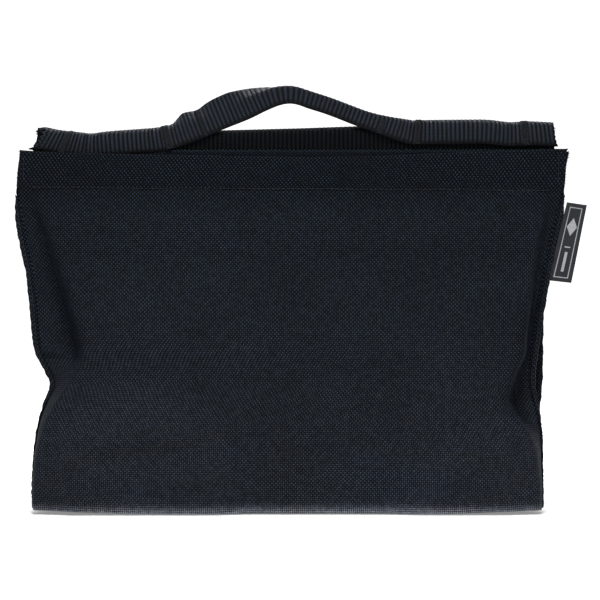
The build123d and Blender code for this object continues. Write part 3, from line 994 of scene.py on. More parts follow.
    def settled(self, body: Grid) -> Grid:
        """The body of the outer cloth after a cloth simulation, held at its hem, seams and base.

        The cloth is let out a little, so it buckles into soft folds between the sand that pushes it
        and the edges that hold it. Only the depth of each point changes, and by a few millimetres.

        Args:
            body: rows and columns of points, from the hem down.

        Returns:
            The same points, settled.
        """
        picked = np.linspace(0, len(body) - 1, self.sim_rows).round().astype(int)
        across = np.linspace(0, self.columns - 1, self.sim_columns).round().astype(int)
        coarse = body[np.ix_(picked, across)]
        index = np.arange(coarse.shape[0] * coarse.shape[1]).reshape(coarse.shape[:2])
        quads = np.stack([index[:-1, :-1], index[:-1, 1:], index[1:, 1:], index[1:, :-1]], axis=-1)
        mesh = bpy.data.meshes.new("cloth_in_work")
        mesh.from_pydata((coarse.reshape(-1, 3) * MM).tolist(), [], quads.reshape(-1, 4).tolist())
        work = bpy.data.objects.new("cloth_in_work", mesh)
        scene = bpy.context.scene
        scene.collection.objects.link(work)
        held = work.vertex_groups.new(name="held")
        border = [index[:2], index[-2:], index[:, :2], index[:, -2:]]
        held.add(np.unique(np.concatenate([edge.ravel() for edge in border])).tolist(), 1.0, "REPLACE")
        cloth = work.modifiers.new("cloth", "CLOTH")
        cloth.settings.vertex_group_mass = "held"
        for setting, value in self.cloth_settings:
            setattr(cloth.settings, setting, value)
        cloth.settings.use_pressure = True
        cloth.settings.uniform_pressure_force = self.push * self.side.value
        cloth.settings.effector_weights.gravity = 0.5
        for number in range(1, self.frames + 1):
            scene.frame_set(number)
        shape = work.evaluated_get(bpy.context.evaluated_depsgraph_get()).data
        moved = np.empty(len(shape.vertices) * 3)
        shape.vertices.foreach_get("co", moved)
        out = (moved.reshape(coarse.shape)[..., 1] / MM - coarse[..., 1]) * self.side.value
        bpy.data.objects.remove(work)
        bpy.data.meshes.remove(mesh)
        scene.frame_set(1)
        LOG.info("%s cloth moved by %.1f to %.1f mm", self.side.word, out.min(), out.max())
        inward = 1.2 * ease(198, 182, coarse[..., 2])  # none beside the zip, which needs its room
        out = np.clip(out, -inward, 4.0)
        wide = np.stack([np.interp(np.arange(self.columns), across, row) for row in out])
        fine = np.stack([np.interp(np.arange(len(body)), picked, line) for line in wide.T], axis=1)
        for _ in range(3):
            fine[1:-1, 1:-1] = (
                fine[1:-1, 1:-1] * 2 + fine[:-2, 1:-1] + fine[2:, 1:-1] + fine[1:-1, :-2] + fine[1:-1, 2:]
            ) / 6
        result = body.copy()
        result[..., 1] += fine * self.side.value
        return result

    def dust(self, grid: Grid) -> Grid:
        """How pale the outer cloth is: a dusting of sand, with painted light and shade.

        The body takes an even dusting of sand, paler downwards as painted light from the floor, and
        paler on the heaps where the sand pushes the cloth out, both as sand and as painted light on
        their tops. The folded hem and the bottoms of the creases stay dark, as painted shade.

        Args:
            grid: rows and columns of points.

        Returns:
            The share at each point.
        """
        across, height = grid[..., 0] - BAG_MIDDLE, grid[..., 2]
        numbers = self.cut(height[:, self.columns // 2])
        left = np.exp(-(((across - numbers[:, 2:3] - 3) / 6.5) ** 2)) * ease(100, 118, height)
        right = np.exp(-(((across - numbers[:, 7:8] + 2) / 7.5) ** 2)) * ease(175, 140, height)
        # Painted shade in the bottoms of the creases.
        crease_shade = np.clip(left + right * ease(55, 70, height), 0, 1) * ease(236, 216, height)
        # A dusting of sand over the body, paler downwards as painted light from the floor, none on the
        # hem as painted shade.
        body = 0.012 + 0.007 * ease(215, 150, height) + 0.016 * ease(150, 60, height)
        body = body * ease(237, 214, height) * (1 - crease_shade)
        # More sand and painted light on the heaps.
        return np.clip(body + 0.012 * self.heaped(across, height), 0, 1)

    def inner_grid(self, base_row: Grid) -> tuple[Grid, Grid]:
        """The inner cloth, from its top under the ridge down to the seam of the base.

        Args:
            base_row: the outer cloth's last row, which it meets.

        Returns:
            Its points and its thread coordinates.
        """
        rows = []
        for share in np.linspace(0, 1, 12):
            numbers = self.cut(np.array([262.0 - 24 * share]))[0]
            narrow = 1.5 + 11 * (1 - share) ** 0.5
            across = np.linspace(numbers[1] + narrow, numbers[6] - narrow, self.columns)
            top = through(self.panel_top, across, 3.0)
            rows.append(self.placed(across, 6.3 + 0 * across, top + (FOLD_HEIGHT - top) * share))
        heights = np.linspace(FOLD_HEIGHT - 3, self.edge_radius, 60)
        for height, numbers in zip(heights, self.cut(heights)):
            back = self.back_depth(height)
            seam = back + (numbers[0] - back) * ease(FOLD_HEIGHT, FOLD_HEIGHT - 14, height)
            ls, rs = numbers[1], numbers[6]
            corners = np.array(
                [
                    (ls, seam),
                    (ls + 5, seam - 0.4 * (seam - back)),
                    (ls + 13, back + 0.4),
                    (ls + 40, back),
                    (rs - 40, back),
                    (rs - 13, back + 0.4),
                    (rs - 5, seam - 0.4 * (seam - back)),
                    (rs, seam),
                ]
            )
            line = respaced(corners, self.columns)
            slack = 0.35 * (1 + ripple(line[:, 0], height, self.seed + 9, 60))
            depth = line[:, 1] + slack * ease(0, 30, np.minimum(line[:, 0] - ls, rs - line[:, 0]))
            rows.append(self.placed(line[:, 0], depth, height + self.lift(line[:, 0], height)))
        last = rows[-1]
        target = base_row[np.linspace(0, len(base_row) - 1, self.columns).round().astype(int)]
        for share in np.linspace(0, 1, 12)[1:]:
            row = last + (target - last) * share
            row[:, 2] = last[:, 2] - self.edge_fall(np.abs(row[:, 1] - last[:, 1]))
            row[:, 2] += (target[:, 2] - row[:, 2]) * share**3
            rows.append(row)
        grid = np.stack(rows)
        along, down = np.linspace(-205, 205, self.columns), np.linspace(0, 290, len(rows))
        return grid, thread_grid(grid, along, down[:, None])

    def flap_blend(self, piece: bpy.types.Object) -> None:
        """Bakes a piece's transform into its points.

        Args:
            piece: one that reaches from the pouch's body into its mouth.
        """
        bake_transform(piece)

    def build(self) -> None:
        """Makes and dresses every cloth piece of the pouch."""
        word = self.side.word
        outer, outer_threads = self.outer_grid()
        shell = cloth_shell(outer, outer_threads, self.side.value * self.cloth)
        cloth = add_piece(f"{word}_outer_cloth", shell, OXFORD)
        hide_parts(f"{word}_outer_panel", f"{word}_mouth_hem")
        self.flap_blend(cloth)

        inner, inner_threads = self.inner_grid(outer[-1])
        lining = cloth_shell(inner, inner_threads, -self.side.value * self.cloth)
        panel = add_piece(f"{word}_inner_cloth", lining, OXFORD)
        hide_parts(f"{word}_inner_panel")
        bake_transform(panel)

        fins = [self.seam_fin(hand) for hand in (-1, 1)]
        self.hem_stitching()
        self.side_stitching()
        self.frayed_edges(outer)
        self.touch_strips()
        self.zip_tape()
        self.sand()

    def seam_line(self, hand: int, heights: Grid) -> tuple[Grid, Grid]:
        """The line of a side seam and the way its allowance points.

        Args:
            hand: -1 for the left seam and 1 for the right one.
            heights: where to read it.

        Returns:
            Points on the seam, and directions out of the bag.
        """
        numbers = self.cut(heights)
        across = numbers[:, 1] if hand < 0 else numbers[:, 6]
        points = self.placed(across, numbers[:, 0], heights + self.lift(across, heights))
        turn = 0.2 + 0.25 * ripple(heights, 0 * heights, self.seed + 20 + hand, 45)
        out = np.stack([hand * np.cos(turn), self.side.value * np.sin(turn), 0 * turn], axis=-1)
        return points, out

    def fin_width(self, heights: Grid) -> Grid:
        """How far the seam allowance stands out: least at the hem and where the sand fills the seam."""
        below_hem = ease(FOLD_HEIGHT + 2, FOLD_HEIGHT - 26, heights)
        return self.seam_width * below_hem * (0.4 + 0.6 * ease(62, 104, heights))

    def seam_fin(self, hand: int) -> bpy.types.Object:
        """The raw seam allowance that stands out at one side.

        Args:
            hand: -1 for the left seam and 1 for the right one.

        Returns:
            The piece.
        """
        heights = np.linspace(FOLD_HEIGHT - 0.5, 1.5, 150)
        points, out = self.seam_line(hand, heights)
        rng = np.random.default_rng(self.seed + 30 + hand)
        width = self.fin_width(heights)
        ragged = width + 0.35 * ripple(heights, 0 * heights, self.seed + 31 + hand, 9)
        ragged = ragged + rng.uniform(-0.2, 0.2, len(heights))
        shares = np.array([-0.25, 0.1, 0.4, 0.7, 0.9, 1.0])
        grid = points[:, None] + out[:, None] * (ragged[:, None] * shares)[..., None]
        thick = np.array([1.0, 1.0, 0.95, 0.9, 0.85, 0.6])
        push = np.zeros_like(grid)
        push[..., 1] = thick * self.side.value
        wear_and_painted_light = np.array([0, 0, 0.01, 0.02, 0.05, 0.12])
        threads = thread_grid(grid, shares * self.seam_width, heights[:, None], wear_and_painted_light)
        name = f"{self.side.word}_{'left' if hand < 0 else 'right'}_seam"
        fin = add_piece(f"{name}_allowance", two_layers(grid + push, grid - push, threads), OXFORD)
        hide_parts(name)
        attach(fin, self.pouch_body)
        return fin

    def hem_stitching(self) -> None:
        """The row of stitches along the foot of the hem, and the one that closes each of its ends."""
        across = np.linspace(-192, 194, 400)
        height = 238.3 - 0.0065 * (across + 192) + 0.3 * ripple(across, 0 * across, self.seed + 40, 90)
        front = self.cut(height)[:, 5] - 1.2 * ease(150, 182, np.abs(across))
        depth = np.where(height < FOLD_HEIGHT - 0.4, np.maximum(front, HEM_FACE), HEM_FACE)
        line = self.placed(across, depth + 0.15, height)
        out = np.broadcast_to([0, self.side.value, 0.0], line.shape)
        row_stitches = stitches(line, out, *self.hem_stitch)
        for place in (-196.0, 197.0):
            level = np.linspace(FOLD_HEIGHT + 3, FOLD_HEIGHT + 25, 40)
            share = (level - FOLD_HEIGHT) / HEM_HEIGHT
            deep = HEM_FACE + (self.hem_lean + 0.8) * share
            upright = self.placed(place + 0 * level, deep, level)
            facing = np.broadcast_to([0, self.side.value, 0.0], upright.shape)
            row_stitches = row_stitches + stitches(upright, facing, *self.hem_stitch)
        row = add_piece(f"{self.side.word}_hem_thread", row_stitches, THREAD)
        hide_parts(f"{self.side.word}_hem_stitching")
        self.flap_blend(row)

    def side_stitching(self) -> None:
        """The stitches that close both side seams."""
        heights = np.linspace(FOLD_HEIGHT - 3, 14, 300)
        rows = []
        for hand in (-1, 1):
            points, out = self.seam_line(hand, heights)
            face = np.broadcast_to([0, self.side.value, 0.0], points.shape)
            line = points + out * 1.1 + face * 1.0
            rows.append(stitches(line, face, *self.side_stitch))
        both = add_piece(f"{self.side.word}_side_thread", rows[0] + rows[1], THREAD)
        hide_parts(f"{self.side.word}_side_stitching")
        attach(both, self.pouch_body)

    def frayed_edges(self, outer: Grid) -> None:
        """Loose yarns at the raw ends of the hem and along the side seams.

        Args:
            outer: the outer cloth's points.
        """
        hem_rows = slice(14, 30)  # from the mouth's edge down the outside
        roll_rows = slice(13, 19)  # round the mouth's edge
        tufts = []
        for hand, column in ((-1, 0), (1, -1)):
            edge = outer[hem_rows, column]
            out = np.broadcast_to([hand, 0.15 * self.side.value, 0.25], edge.shape)
            tufts.append(frays(edge, out, self.seed + 50 + hand, 2.2, 1.2))
            corner = outer[roll_rows, column]
            up = np.broadcast_to([hand * 0.7, 0.1, 0.8], corner.shape)
            tufts.append(frays(corner, up, self.seed + 60 + hand, 0.8, 1.6))
            heights = np.linspace(FOLD_HEIGHT - 2, 8, 120)
            points, way = self.seam_line(hand, heights)
            width = self.fin_width(heights)
            tip = points + way * (width - 0.3)[:, None]
            tufts.append(frays(tip, way, self.seed + 70 + hand, 4.0, 1.1))
        loose = add_piece(f"{self.side.word}_loose_yarns", sum(tufts[1:], tufts[0]), OXFORD)
        self.flap_blend(loose)

    def touch_strips(self) -> None:
        """The hook tape inside the hem and the loop tape that faces it."""
        across = np.linspace(-186, 186, 250)
        drop = through(self.mouth, across, 5.0) - 2.6
        for kind, depth, body in (("hook", 9.2, self.flap_body), ("loop", 7.4, self.pouch_body)):
            shares = np.linspace(0, 1, 16)[:, None]
            height = drop - shares * 22.5
            if kind == "hook":
                depth = depth + self.hem_lean * (1 - shares)
            nap = 0.15 + 0.12 * ripple(across, height, self.seed + 80, 2.6, 12)
            nap = nap * ease(0, 0.08, shares) * ease(1, 0.92, shares)
            faces = (depth, depth - 0.75 - nap) if kind == "hook" else (depth + nap, depth - 0.9)
            outside, inside = (self.placed(across, face, height) for face in faces)
            tape = two_layers(outside, inside, thread_grid(outside))
            strip = add_piece(f"{self.side.word}_{kind}_tape", tape, PILE)
            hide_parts(f"{self.side.word}_{kind}_strip")
            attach(strip, body)

    def zip_tape(self) -> None:
        """The zip's outer tape, from the coil to the cloth that it is sewn to."""
        across = np.linspace(-172, 172, 120)
        share = np.linspace(0, 1, 9)[:, None]
        height = 206.4 - 11.5 * share + 0 * across
        foot = self.face_depth(across, 195.0) - 2.4
        depth = 12.4 + (foot - 12.4) * share + 0.25 * ripple(across, height, self.seed + 95, 30)
        grid = self.placed(across, depth, height)
        layers = two_layers(grid, grid - [0, 0.3 * self.side.value, 0.3], thread_grid(grid))
        tape = add_piece(f"{self.side.word}_sewn_tape", layers, ZIP_TAPE)
        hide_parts(f"{self.side.word}_zip_outer_tape")
        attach(tape, self.pouch_body)

    def sand(self) -> None:
        """The film sack inside the pouch, and the sand that fills it."""
        turns = np.linspace(0, math.tau, 150, endpoint=False)

        def boxy(value: Grid, power: float) -> Grid:
            """A cosine or sine pushed towards the shape of a box."""
            return np.sign(value) * np.abs(value) ** power

        for name, node, gap, top, finish, crease in (
            ("sack_film", "sand_sack", 2.2, 148.0, SACK_FILM, 0.8),
            ("sand_fill", "sand", 4.0, 144.0, DRY_SAND, 0.3),
        ):
            share = np.linspace(0, 1, 60)
            heights = 2.0 + gap + (top - 2.0 - gap) * share
            cuts = self.cut(np.maximum(heights, 8.0))
            round_off = (1 - np.abs(2 * share - 1) ** 9) ** 0.5
            back = self.back_depth(heights) + gap
            front = cuts[:, 5] - 8.4 - gap
            left, right = cuts[:, 4] + gap + 2, cuts[:, 9] - gap - 2
            rows = []
            for height, ring, near, far, start, end in zip(heights, round_off, back, front, left, right):
                middle, half = (far + near) / 2, (far - near) / 2
                depth = middle + half * (0.25 + 0.75 * ring) * boxy(np.sin(turns), 0.5)
                reach = (end - start) / 2 * (0.9 + 0.1 * ring)
                across = (start + end) / 2 + reach * boxy(np.cos(turns), 0.35)
                dent = crease * ripple(across, depth * 3 + height, self.seed + 90, 26)
                rows.append(self.placed(across, depth - np.abs(dent) * np.sin(turns), height + dent))
            piece = add_piece(f"{self.side.word}_{name}", round_patch(np.stack(rows), True), finish)
            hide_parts(f"{self.side.word}_{node}")
            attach(piece, self.pouch_body)


# Ridge and handle

CREST: Points = (  # the ridge webbing's top along the bag
    (-200, 283.2),
    (-190, 282.4),
    (-178, 279.6),
    (-162, 276.3),
    (-155, 275.5),
    (-141, 277.4),
    (-104, 279.5),
    (-54, 281.0),
    (0, 282.4),
    (40, 283.8),
    (81, 285.3),
    (137, 286.0),
    (154, 283.9),
    (170, 285.3),
    (190, 284.6),
)


@dataclass
class Ridge:
    """The cloth that joins the pouches, and the wide webbing sewn over it."""

    left: float = -196.0
    right: float = 187.0
    face: float = 6.0  # radius of the webbing's outer face, where it goes over
    thickness: float = 2.0
    width: float = 50.0
    cloth_width: float = 47.0
    cloth: float = 0.9  # thickness of the oxford under the webbing
    rib: float = 3.2
    rib_rise: float = 0.32

    def drape(self, radius: float, width: float, along: Grid, count: int) -> tuple[Grid, Grid, Grid]:
        """A band laid evenly over the ridge.

        Args:
            radius: of its outer face, where it goes over.
            width: of the band, along its face.
            along: places along the ridge.
            count: points across the band.

        Returns:
            Points of its outer face, their outward directions, and places across the band.
        """
        across = np.linspace(-width / 2, width / 2, count)
        arc = math.pi / 2 * (self.face - 1)
        angle = np.clip(across / (self.face - 1), -math.pi / 2, math.pi / 2)
        leg = np.clip(np.abs(across) - arc, 0, None)
        centre = through(CREST, along, 4.0) - self.face
        sway = 0.5 * ripple(along, 0 * along, 7, 120)
        y = radius * np.sin(angle)[None, :] + sway[:, None]
        z = centre[:, None] + radius * np.cos(angle)[None, :] - leg[None, :]
        notch = 4.6 * np.exp(-(((z - 275.5) / 4.2) ** 2)) + 2.4 * ease(276, 284, z)
        x = along[:, None] + notch * ease(self.left + 12, self.left, along)[:, None]
        out = np.stack(np.broadcast_arrays(0 * x, np.sin(angle)[None, :], np.cos(angle)[None, :]), -1)
        return np.stack([x, y, z], axis=-1), out, across

    def build(self) -> None:
        """Makes and dresses the bridge cloth and the webbing."""
        along = np.arange(self.left, self.right, self.rib / 7)
        face, out, across = self.drape(self.face, self.width, along, 44)
        rib = np.sqrt(np.abs(np.sin(math.pi * along / self.rib)))[:, None]
        selvedge = ease(self.width / 2, self.width / 2 - 1.6, np.abs(across))[None, :]
        rise = self.rib_rise * (rib * selvedge - 0.6) - 0.35 * (1 - selvedge)
        threads = thread_grid(face, along[:, None], across)
        outer = face + out * rise[..., None]
        inner = face - out * self.thickness
        webbing = add_piece("ridge_band", two_layers(outer, inner, threads), SHADED_RIDGE_WEBBING)
        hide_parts("ridge_webbing")
        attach(webbing, "spine")

        along = np.linspace(self.left - 1.0, self.right + 0.6, 160)
        inside = self.face - self.thickness - 0.05
        face, out, across = self.drape(inside, self.cloth_width, along, 30)
        threads = thread_grid(face, along[:, None], across)
        bridge = add_piece("bridge_cloth", two_layers(face, face - out * self.cloth, threads), OXFORD)
        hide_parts("bridge_panel")
        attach(bridge, "spine")

        tufts = []
        for hand, row in ((-1, 0), (1, -1)):
            end = face[row]
            way = np.broadcast_to([hand, 0, 0.15], end.shape)
            tufts.append(frays(end, way, 300 + hand, 1.1, 1.5))
        loose = add_piece("ridge_loose_yarns", tufts[0] + tufts[1], OXFORD)
        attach(loose, "spine")


@dataclass
class Handle:
    """One length of webbing, sewn flat to the ridge at both ends and folded along its middle to grip.

    The tables give, along the bag: the height of its lower edge, how far that edge lies from the
    middle plane, and how the webbing turns back: by how many degrees, over what width, from where.
    """

    left: float = -196.0
    right: float = 189.0
    lift_left: float = -97.0  # where the arch leaves the ridge
    lift_right: float = 88.0
    width: float = 25.0
    half: float = 1.0  # half of the webbing's thickness
    rib: float = 3.2
    rib_rise: float = 0.44
    stations: int = 1250  # places along the whole length
    low: Points = (
        (-198, 266.4), (-192, 265.6), (-178, 263.0), (-155, 259.5), (-141, 261.5), (-104, 264.2),
        (-90, 267.4), (-84, 269.6), (-78, 271.8), (-67, 276.3), (-55, 281.6), (-44, 286.0), (-36, 289.2),
        (-25.7, 294.6), (-14.7, 299.3), (-7.4, 300.6), (-2, 299.6), (7.4, 296.3), (17, 293.3),
        (28, 289.0), (41, 283.6), (59.5, 277.2), (70, 273.1), (81, 269.6), (101, 269.9),
        (137, 270.2), (154, 268.0), (170, 269.0), (188, 268.2),
    )
    plane: Points = (
        (-104, -7.1), (-88, -7.6), (-70, -7.6), (-60, -6.8), (-50, -4.4), (-20, -2.2), (10, -2.0),
        (28, -3.6), (40, -6.4), (48, -7.5), (70, -7.6), (84, -7.1),
    )
    turn: Points = (
        (-104, 118.0), (-92, 108.0), (-85, 70.0), (-79, 34.0), (-68, 52.0), (-61, 34.0), (-55, 26.0),
        (-44, 20.0), (-36, 36.0), (-26, 60.0), (-15, 88.0), (-6, 150.0), (4, 176.0), (50, 176.0),
        (60, 160.0), (70, 132.0), (82, 118.0),
    )
    turn_width: Points = (
        (-104, 14.5), (-90, 13.0), (-80, 10.0), (-68, 6.0), (-45, 4.0), (-26, 3.2), (0, 3.4),
        (50, 3.9), (62, 8.0), (72, 12.0), (84, 14.5),
    )
    turn_from: Points = (
        (-104, 10.5), (-80, 9.5), (-60, 10.0), (-40, 12.6), (-20, 11.6), (0, 10.8), (50, 10.8),
        (70, 11.0), (84, 10.5),
    )
    lean: Points = ((-192, 22.0), (-170, 8.0), (-150, 0.0), (150, 0.0), (168, -4.0), (186, -9.0))

    def surface(self, x: Grid, across: Grid) -> tuple[Grid, Grid, Grid]:
        """The middle of the webbing.

        Args:
            x: places along the bag.
            across: places over the webbing's width, from its lower front edge.

        Returns:
            Points, outward directions, and the length along the webbing at each place.
        """
        low = through(self.low, x, 3.2)
        slope = np.arctan(np.gradient(through(self.low, x, 9.0), x))
        tilt = np.radians(through(self.lean, x, 5.0)) - slope
        fine = np.linspace(0, self.width, 120)
        start = through(self.turn_from, x, 3.0)[:, None]
        span = through(self.turn_width, x, 3.0)[:, None]
        total = np.radians(through(self.turn, x, 2.4))[:, None]
        angle = total * ease(0, 1, (fine[None, :] - start) / span * 0.9 + 0.05)
        step = fine[1] - fine[0]
        rise = np.cumsum(np.cos(angle), axis=1) * step
        back = np.cumsum(np.sin(angle), axis=1) * step

        def at(values: Grid) -> Grid:
            """Those values at the wanted places across."""
            return np.stack([np.interp(across, fine, row) for row in values])

        angle, rise, back = at(angle), at(rise), at(back)
        plane = through(self.plane, x, 3.5)[:, None]
        sin, cos = np.sin(tilt)[:, None], np.cos(tilt)[:, None]
        sway = 0.5 * ripple(x, 0 * x, 7, 120)[:, None]
        points = np.stack([x[:, None] + rise * sin, plane + back + sway, low[:, None] + rise * cos], -1)
        out = np.stack([np.sin(angle) * sin, -np.cos(angle), np.sin(angle) * cos], axis=-1)
        gone = np.concatenate([[0], np.cumsum(np.hypot(np.diff(x), np.diff(low)))])
        return points, out, gone

    def webbing(self, name: str, start: float, end: float) -> bpy.types.Object:
        """A length of the webbing.

        Args:
            name: of the piece.
            start: its left end, along the bag.
            end: its right end.

        Returns:
            The piece.
        """
        every = np.linspace(self.left, self.right, self.stations)
        keep = (every >= start - 0.2) & (every <= end + 0.2)
        selvedge = np.array([0, 0.35, 0.9, 1.6])
        middle = np.linspace(2.4, self.width - 2.4, 24)
        across = np.concatenate([selvedge, middle, self.width - selvedge[::-1]])
        points, out, gone = (values[keep] for values in self.surface(every, across))
        x = every[keep]
        ragged = 1.4 * np.sin(across * 1.9)[None, :] + 3.2 * ease(6, 0, across)[None, :]
        points[..., 0] -= ragged * ease(self.left + 9, self.left, x)[:, None]
        points[..., 0] += 0.25 * ragged * ease(self.right - 6, self.right, x)[:, None]
        rib = np.sqrt(np.abs(np.sin(math.pi * gone / self.rib)))[:, None]
        edge = np.minimum(across, self.width - across)[None, :]
        body = ease(0.0, 1.3, edge)
        knobs = 0.12 * np.sin(math.tau * gone / 1.6)[:, None] * (1 - body)
        half = self.half * (0.5 + 0.5 * body) + self.rib_rise * (rib - 0.6) * body + knobs
        # Darker selvedges, widest along the lower edge: their own flatter weave, and painted shade.
        dark = 0.85 * (ease(3.8, 2.2, across) + ease(1.6, 0.4, self.width - across))
        threads = thread_grid(points, gone[:, None], across, dark)
        both = two_layers(points + out * half[..., None], points - out * half[..., None], threads)
        piece = add_piece(name, both, WEBBING)
        LOG.info("%s runs over %d stations", name, len(x))
        return piece

    def tack(self, x: float, start: float, end: float) -> Patch:
        """A zigzag bar of stitches across the webbing.

        Args:
            x: its place along the bag.
            start: its first place over the webbing's width.
            end: its last one.

        Returns:
            The stitches.
        """
        every = np.linspace(self.left, self.right, self.stations)
        across = np.arange(start, end, 0.8)
        points, out, _ = self.surface(every, across)
        column = np.stack(
            [
                [np.interp(x + (1.7 if k % 2 else -1.7), every, points[:, k, c]) for c in range(3)]
                for k in range(len(across))
            ]
        )
        face = np.stack(
            [[np.interp(x, every, out[:, k, c]) for c in range(3)] for k in range(len(across))]
        )
        face = unit(face)
        raised = column + face * (self.half + 0.2)
        ends = np.stack([raised[:-1], raised[1:]], axis=1)
        middle = ends.mean(axis=1, keepdims=True) + face[:-1, None] * 0.25
        lines = np.concatenate([ends[:, :1], middle, ends[:, 1:]], axis=1)
        return tubes(lines, np.array([0.26, 0.32, 0.26]), 5)

    def build(self) -> None:
        """Makes the two sewn ends, the arch between them and every tack."""
        for name, node, start, end in (
            ("left_end_webbing", "left_handle_anchor", self.left, self.lift_left),
            ("right_end_webbing", "right_handle_anchor", self.lift_right, self.right),
        ):
            piece = self.webbing(name, start, end)
            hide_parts(node)
            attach(piece, "spine")
        arch = self.webbing("arch_webbing", self.lift_left, self.lift_right)
        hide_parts("handle_grip")
        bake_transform(arch)

        fixed = self.tack(-177, 0.5, 17.5)
        for place in (-175.0, -97.0, -94.6, 84.5, 87.0, 165.5, 168.0):
            fixed = fixed + self.tack(place, 0.5, 20)
        held = add_piece("end_tacks", fixed, THREAD)
        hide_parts("anchor_tacks")
        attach(held, "spine")
        folded = self.tack(-68.5, 0.5, 24) + self.tack(58.0, 0.5, 11.5)
        grip = add_piece("arch_tacks", folded, THREAD)
        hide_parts("grip_tacks")
        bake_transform(grip)


# Label


@dataclass
class SideLabel:
    """A folded ribbon label sewn into the front pouch's right seam, with a plain printed mark."""

    top_inner: tuple[float, float] = (196.2, 227.4)
    top_outer: tuple[float, float] = (210.8, 225.2)
    low_inner: tuple[float, float] = (182.0, 170.0)
    low_outer: tuple[float, float] = (199.2, 168.0)
    plane: float = -11.6
    thickness: float = 0.55  # of each half of the fold
    ink: float = 0.14  # thickness of the print
    bars: tuple[tuple[float, float, float, float], ...] = (  # left, right, top and bottom
        (0.2, 0.82, 0.05, 0.062), (0.2, 0.82, 0.938, 0.95), (0.2, 0.24, 0.05, 0.95),
        (0.78, 0.82, 0.05, 0.95), (0.38, 0.64, 0.55, 0.565), (0.45, 0.57, 0.62, 0.87),
    )
    diamond: tuple[float, float, float, float] = (0.51, 0.3, 0.24, 0.115)  # middle and half sizes

    def place(self, across: Grid, down: Grid, proud: float) -> Grid:
        """Points on the label.

        Args:
            across: shares of its width, from the seam.
            down: shares of its length, from the top.
            proud: how far in front of its middle plane.

        Returns:
            The points, in the frame of the CAD.
        """
        across, down = np.broadcast_arrays(across, down)
        top, low = (
            np.array(inner) + across[..., None] * (np.array(outer) - np.array(inner))
            for inner, outer in ((self.top_inner, self.top_outer), (self.low_inner, self.low_outer))
        )
        flat = top + down[..., None] * (low - top)
        curl = -1.6 * across**2 * (0.3 + down) + 0.35 * np.sin(down * 7)
        return np.stack([flat[..., 0], self.plane + curl - proud, flat[..., 1]], axis=-1)

    def build(self) -> None:
        """Makes the ribbon and its print."""
        across = np.linspace(0, 1, 14)[None, :]
        down = np.linspace(0, 1, 44)[:, None]
        fold = 1 - 0.55 * ease(0.9, 1.0, across)
        front = self.place(across, down, 0.0)
        front[..., 1] -= self.thickness * fold
        back = self.place(across, down, 0.0)
        back[..., 1] += self.thickness * fold
        ribbon = add_piece("label_fold", two_layers(front, back, thread_grid(front)), RIBBON)
        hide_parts("label")
        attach(ribbon, "front_pouch")

        bars = [self.bar(*shares) for shares in self.bars]
        mark = sum(bars[1:], bars[0]) + self.printed_diamond()
        ink = add_piece("label_mark", mark, INK, smooth=False)
        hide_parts("label_print")
        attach(ink, "front_pouch")

    def printed(self, across: Grid, down: Grid) -> tuple[Grid, Grid]:
        """The outer and the inner face of the print at some places on the label."""
        proud = self.thickness + 0.12
        return self.place(across, down, proud), self.place(across, down, proud - self.ink)

    def bar(self, left: float, right: float, top: float, low: float) -> Patch:
        """One printed bar.

        Args:
            left: where it starts, as a share of the label's width.
            right: where it ends.
            top: where it starts, as a share of the label's length.
            low: where it ends.

        Returns:
            The bar.
        """
        across, down = np.linspace(left, right, 5)[None, :], np.linspace(top, low, 24)[:, None]
        outer, inner = self.printed(across, down)
        return two_layers(outer, inner, thread_grid(outer))

    def printed_diamond(self) -> Patch:
        """The printed diamond.

        Returns:
            A flat block with four corners.
        """
        across, down, half_width, half_length = self.diamond
        turn = np.linspace(0, math.tau, 5)[:-1]
        corners = self.printed(across + half_width * np.cos(turn), down + half_length * np.sin(turn))
        sides = [(k, (k + 1) % 4, (k + 1) % 4 + 4, k + 4) for k in range(4)]
        return Patch(np.vstack(corners), [(0, 1, 2, 3), (7, 6, 5, 4), *sides], np.zeros((8, 3)))


# Zips


@dataclass
class Zip:
    """A coil zip across one pouch, hidden by the hem."""

    side: Side

    def build(self) -> None:
        """Dresses the CAD's tapes, coil, stops, slider and pull."""
        word = self.side.word
        for part, finish in (
            ("zip_inner_tape", ZIP_TAPE),
            ("zip_coil", ZIP_COIL),
            ("zip_stops", PAINTED_ZINC),
            ("zip_slider", PAINTED_ZINC),
            ("zip_pull", PAINTED_ZINC),
        ):
            dress_node(f"{word}_{part}", finish)


# Studio


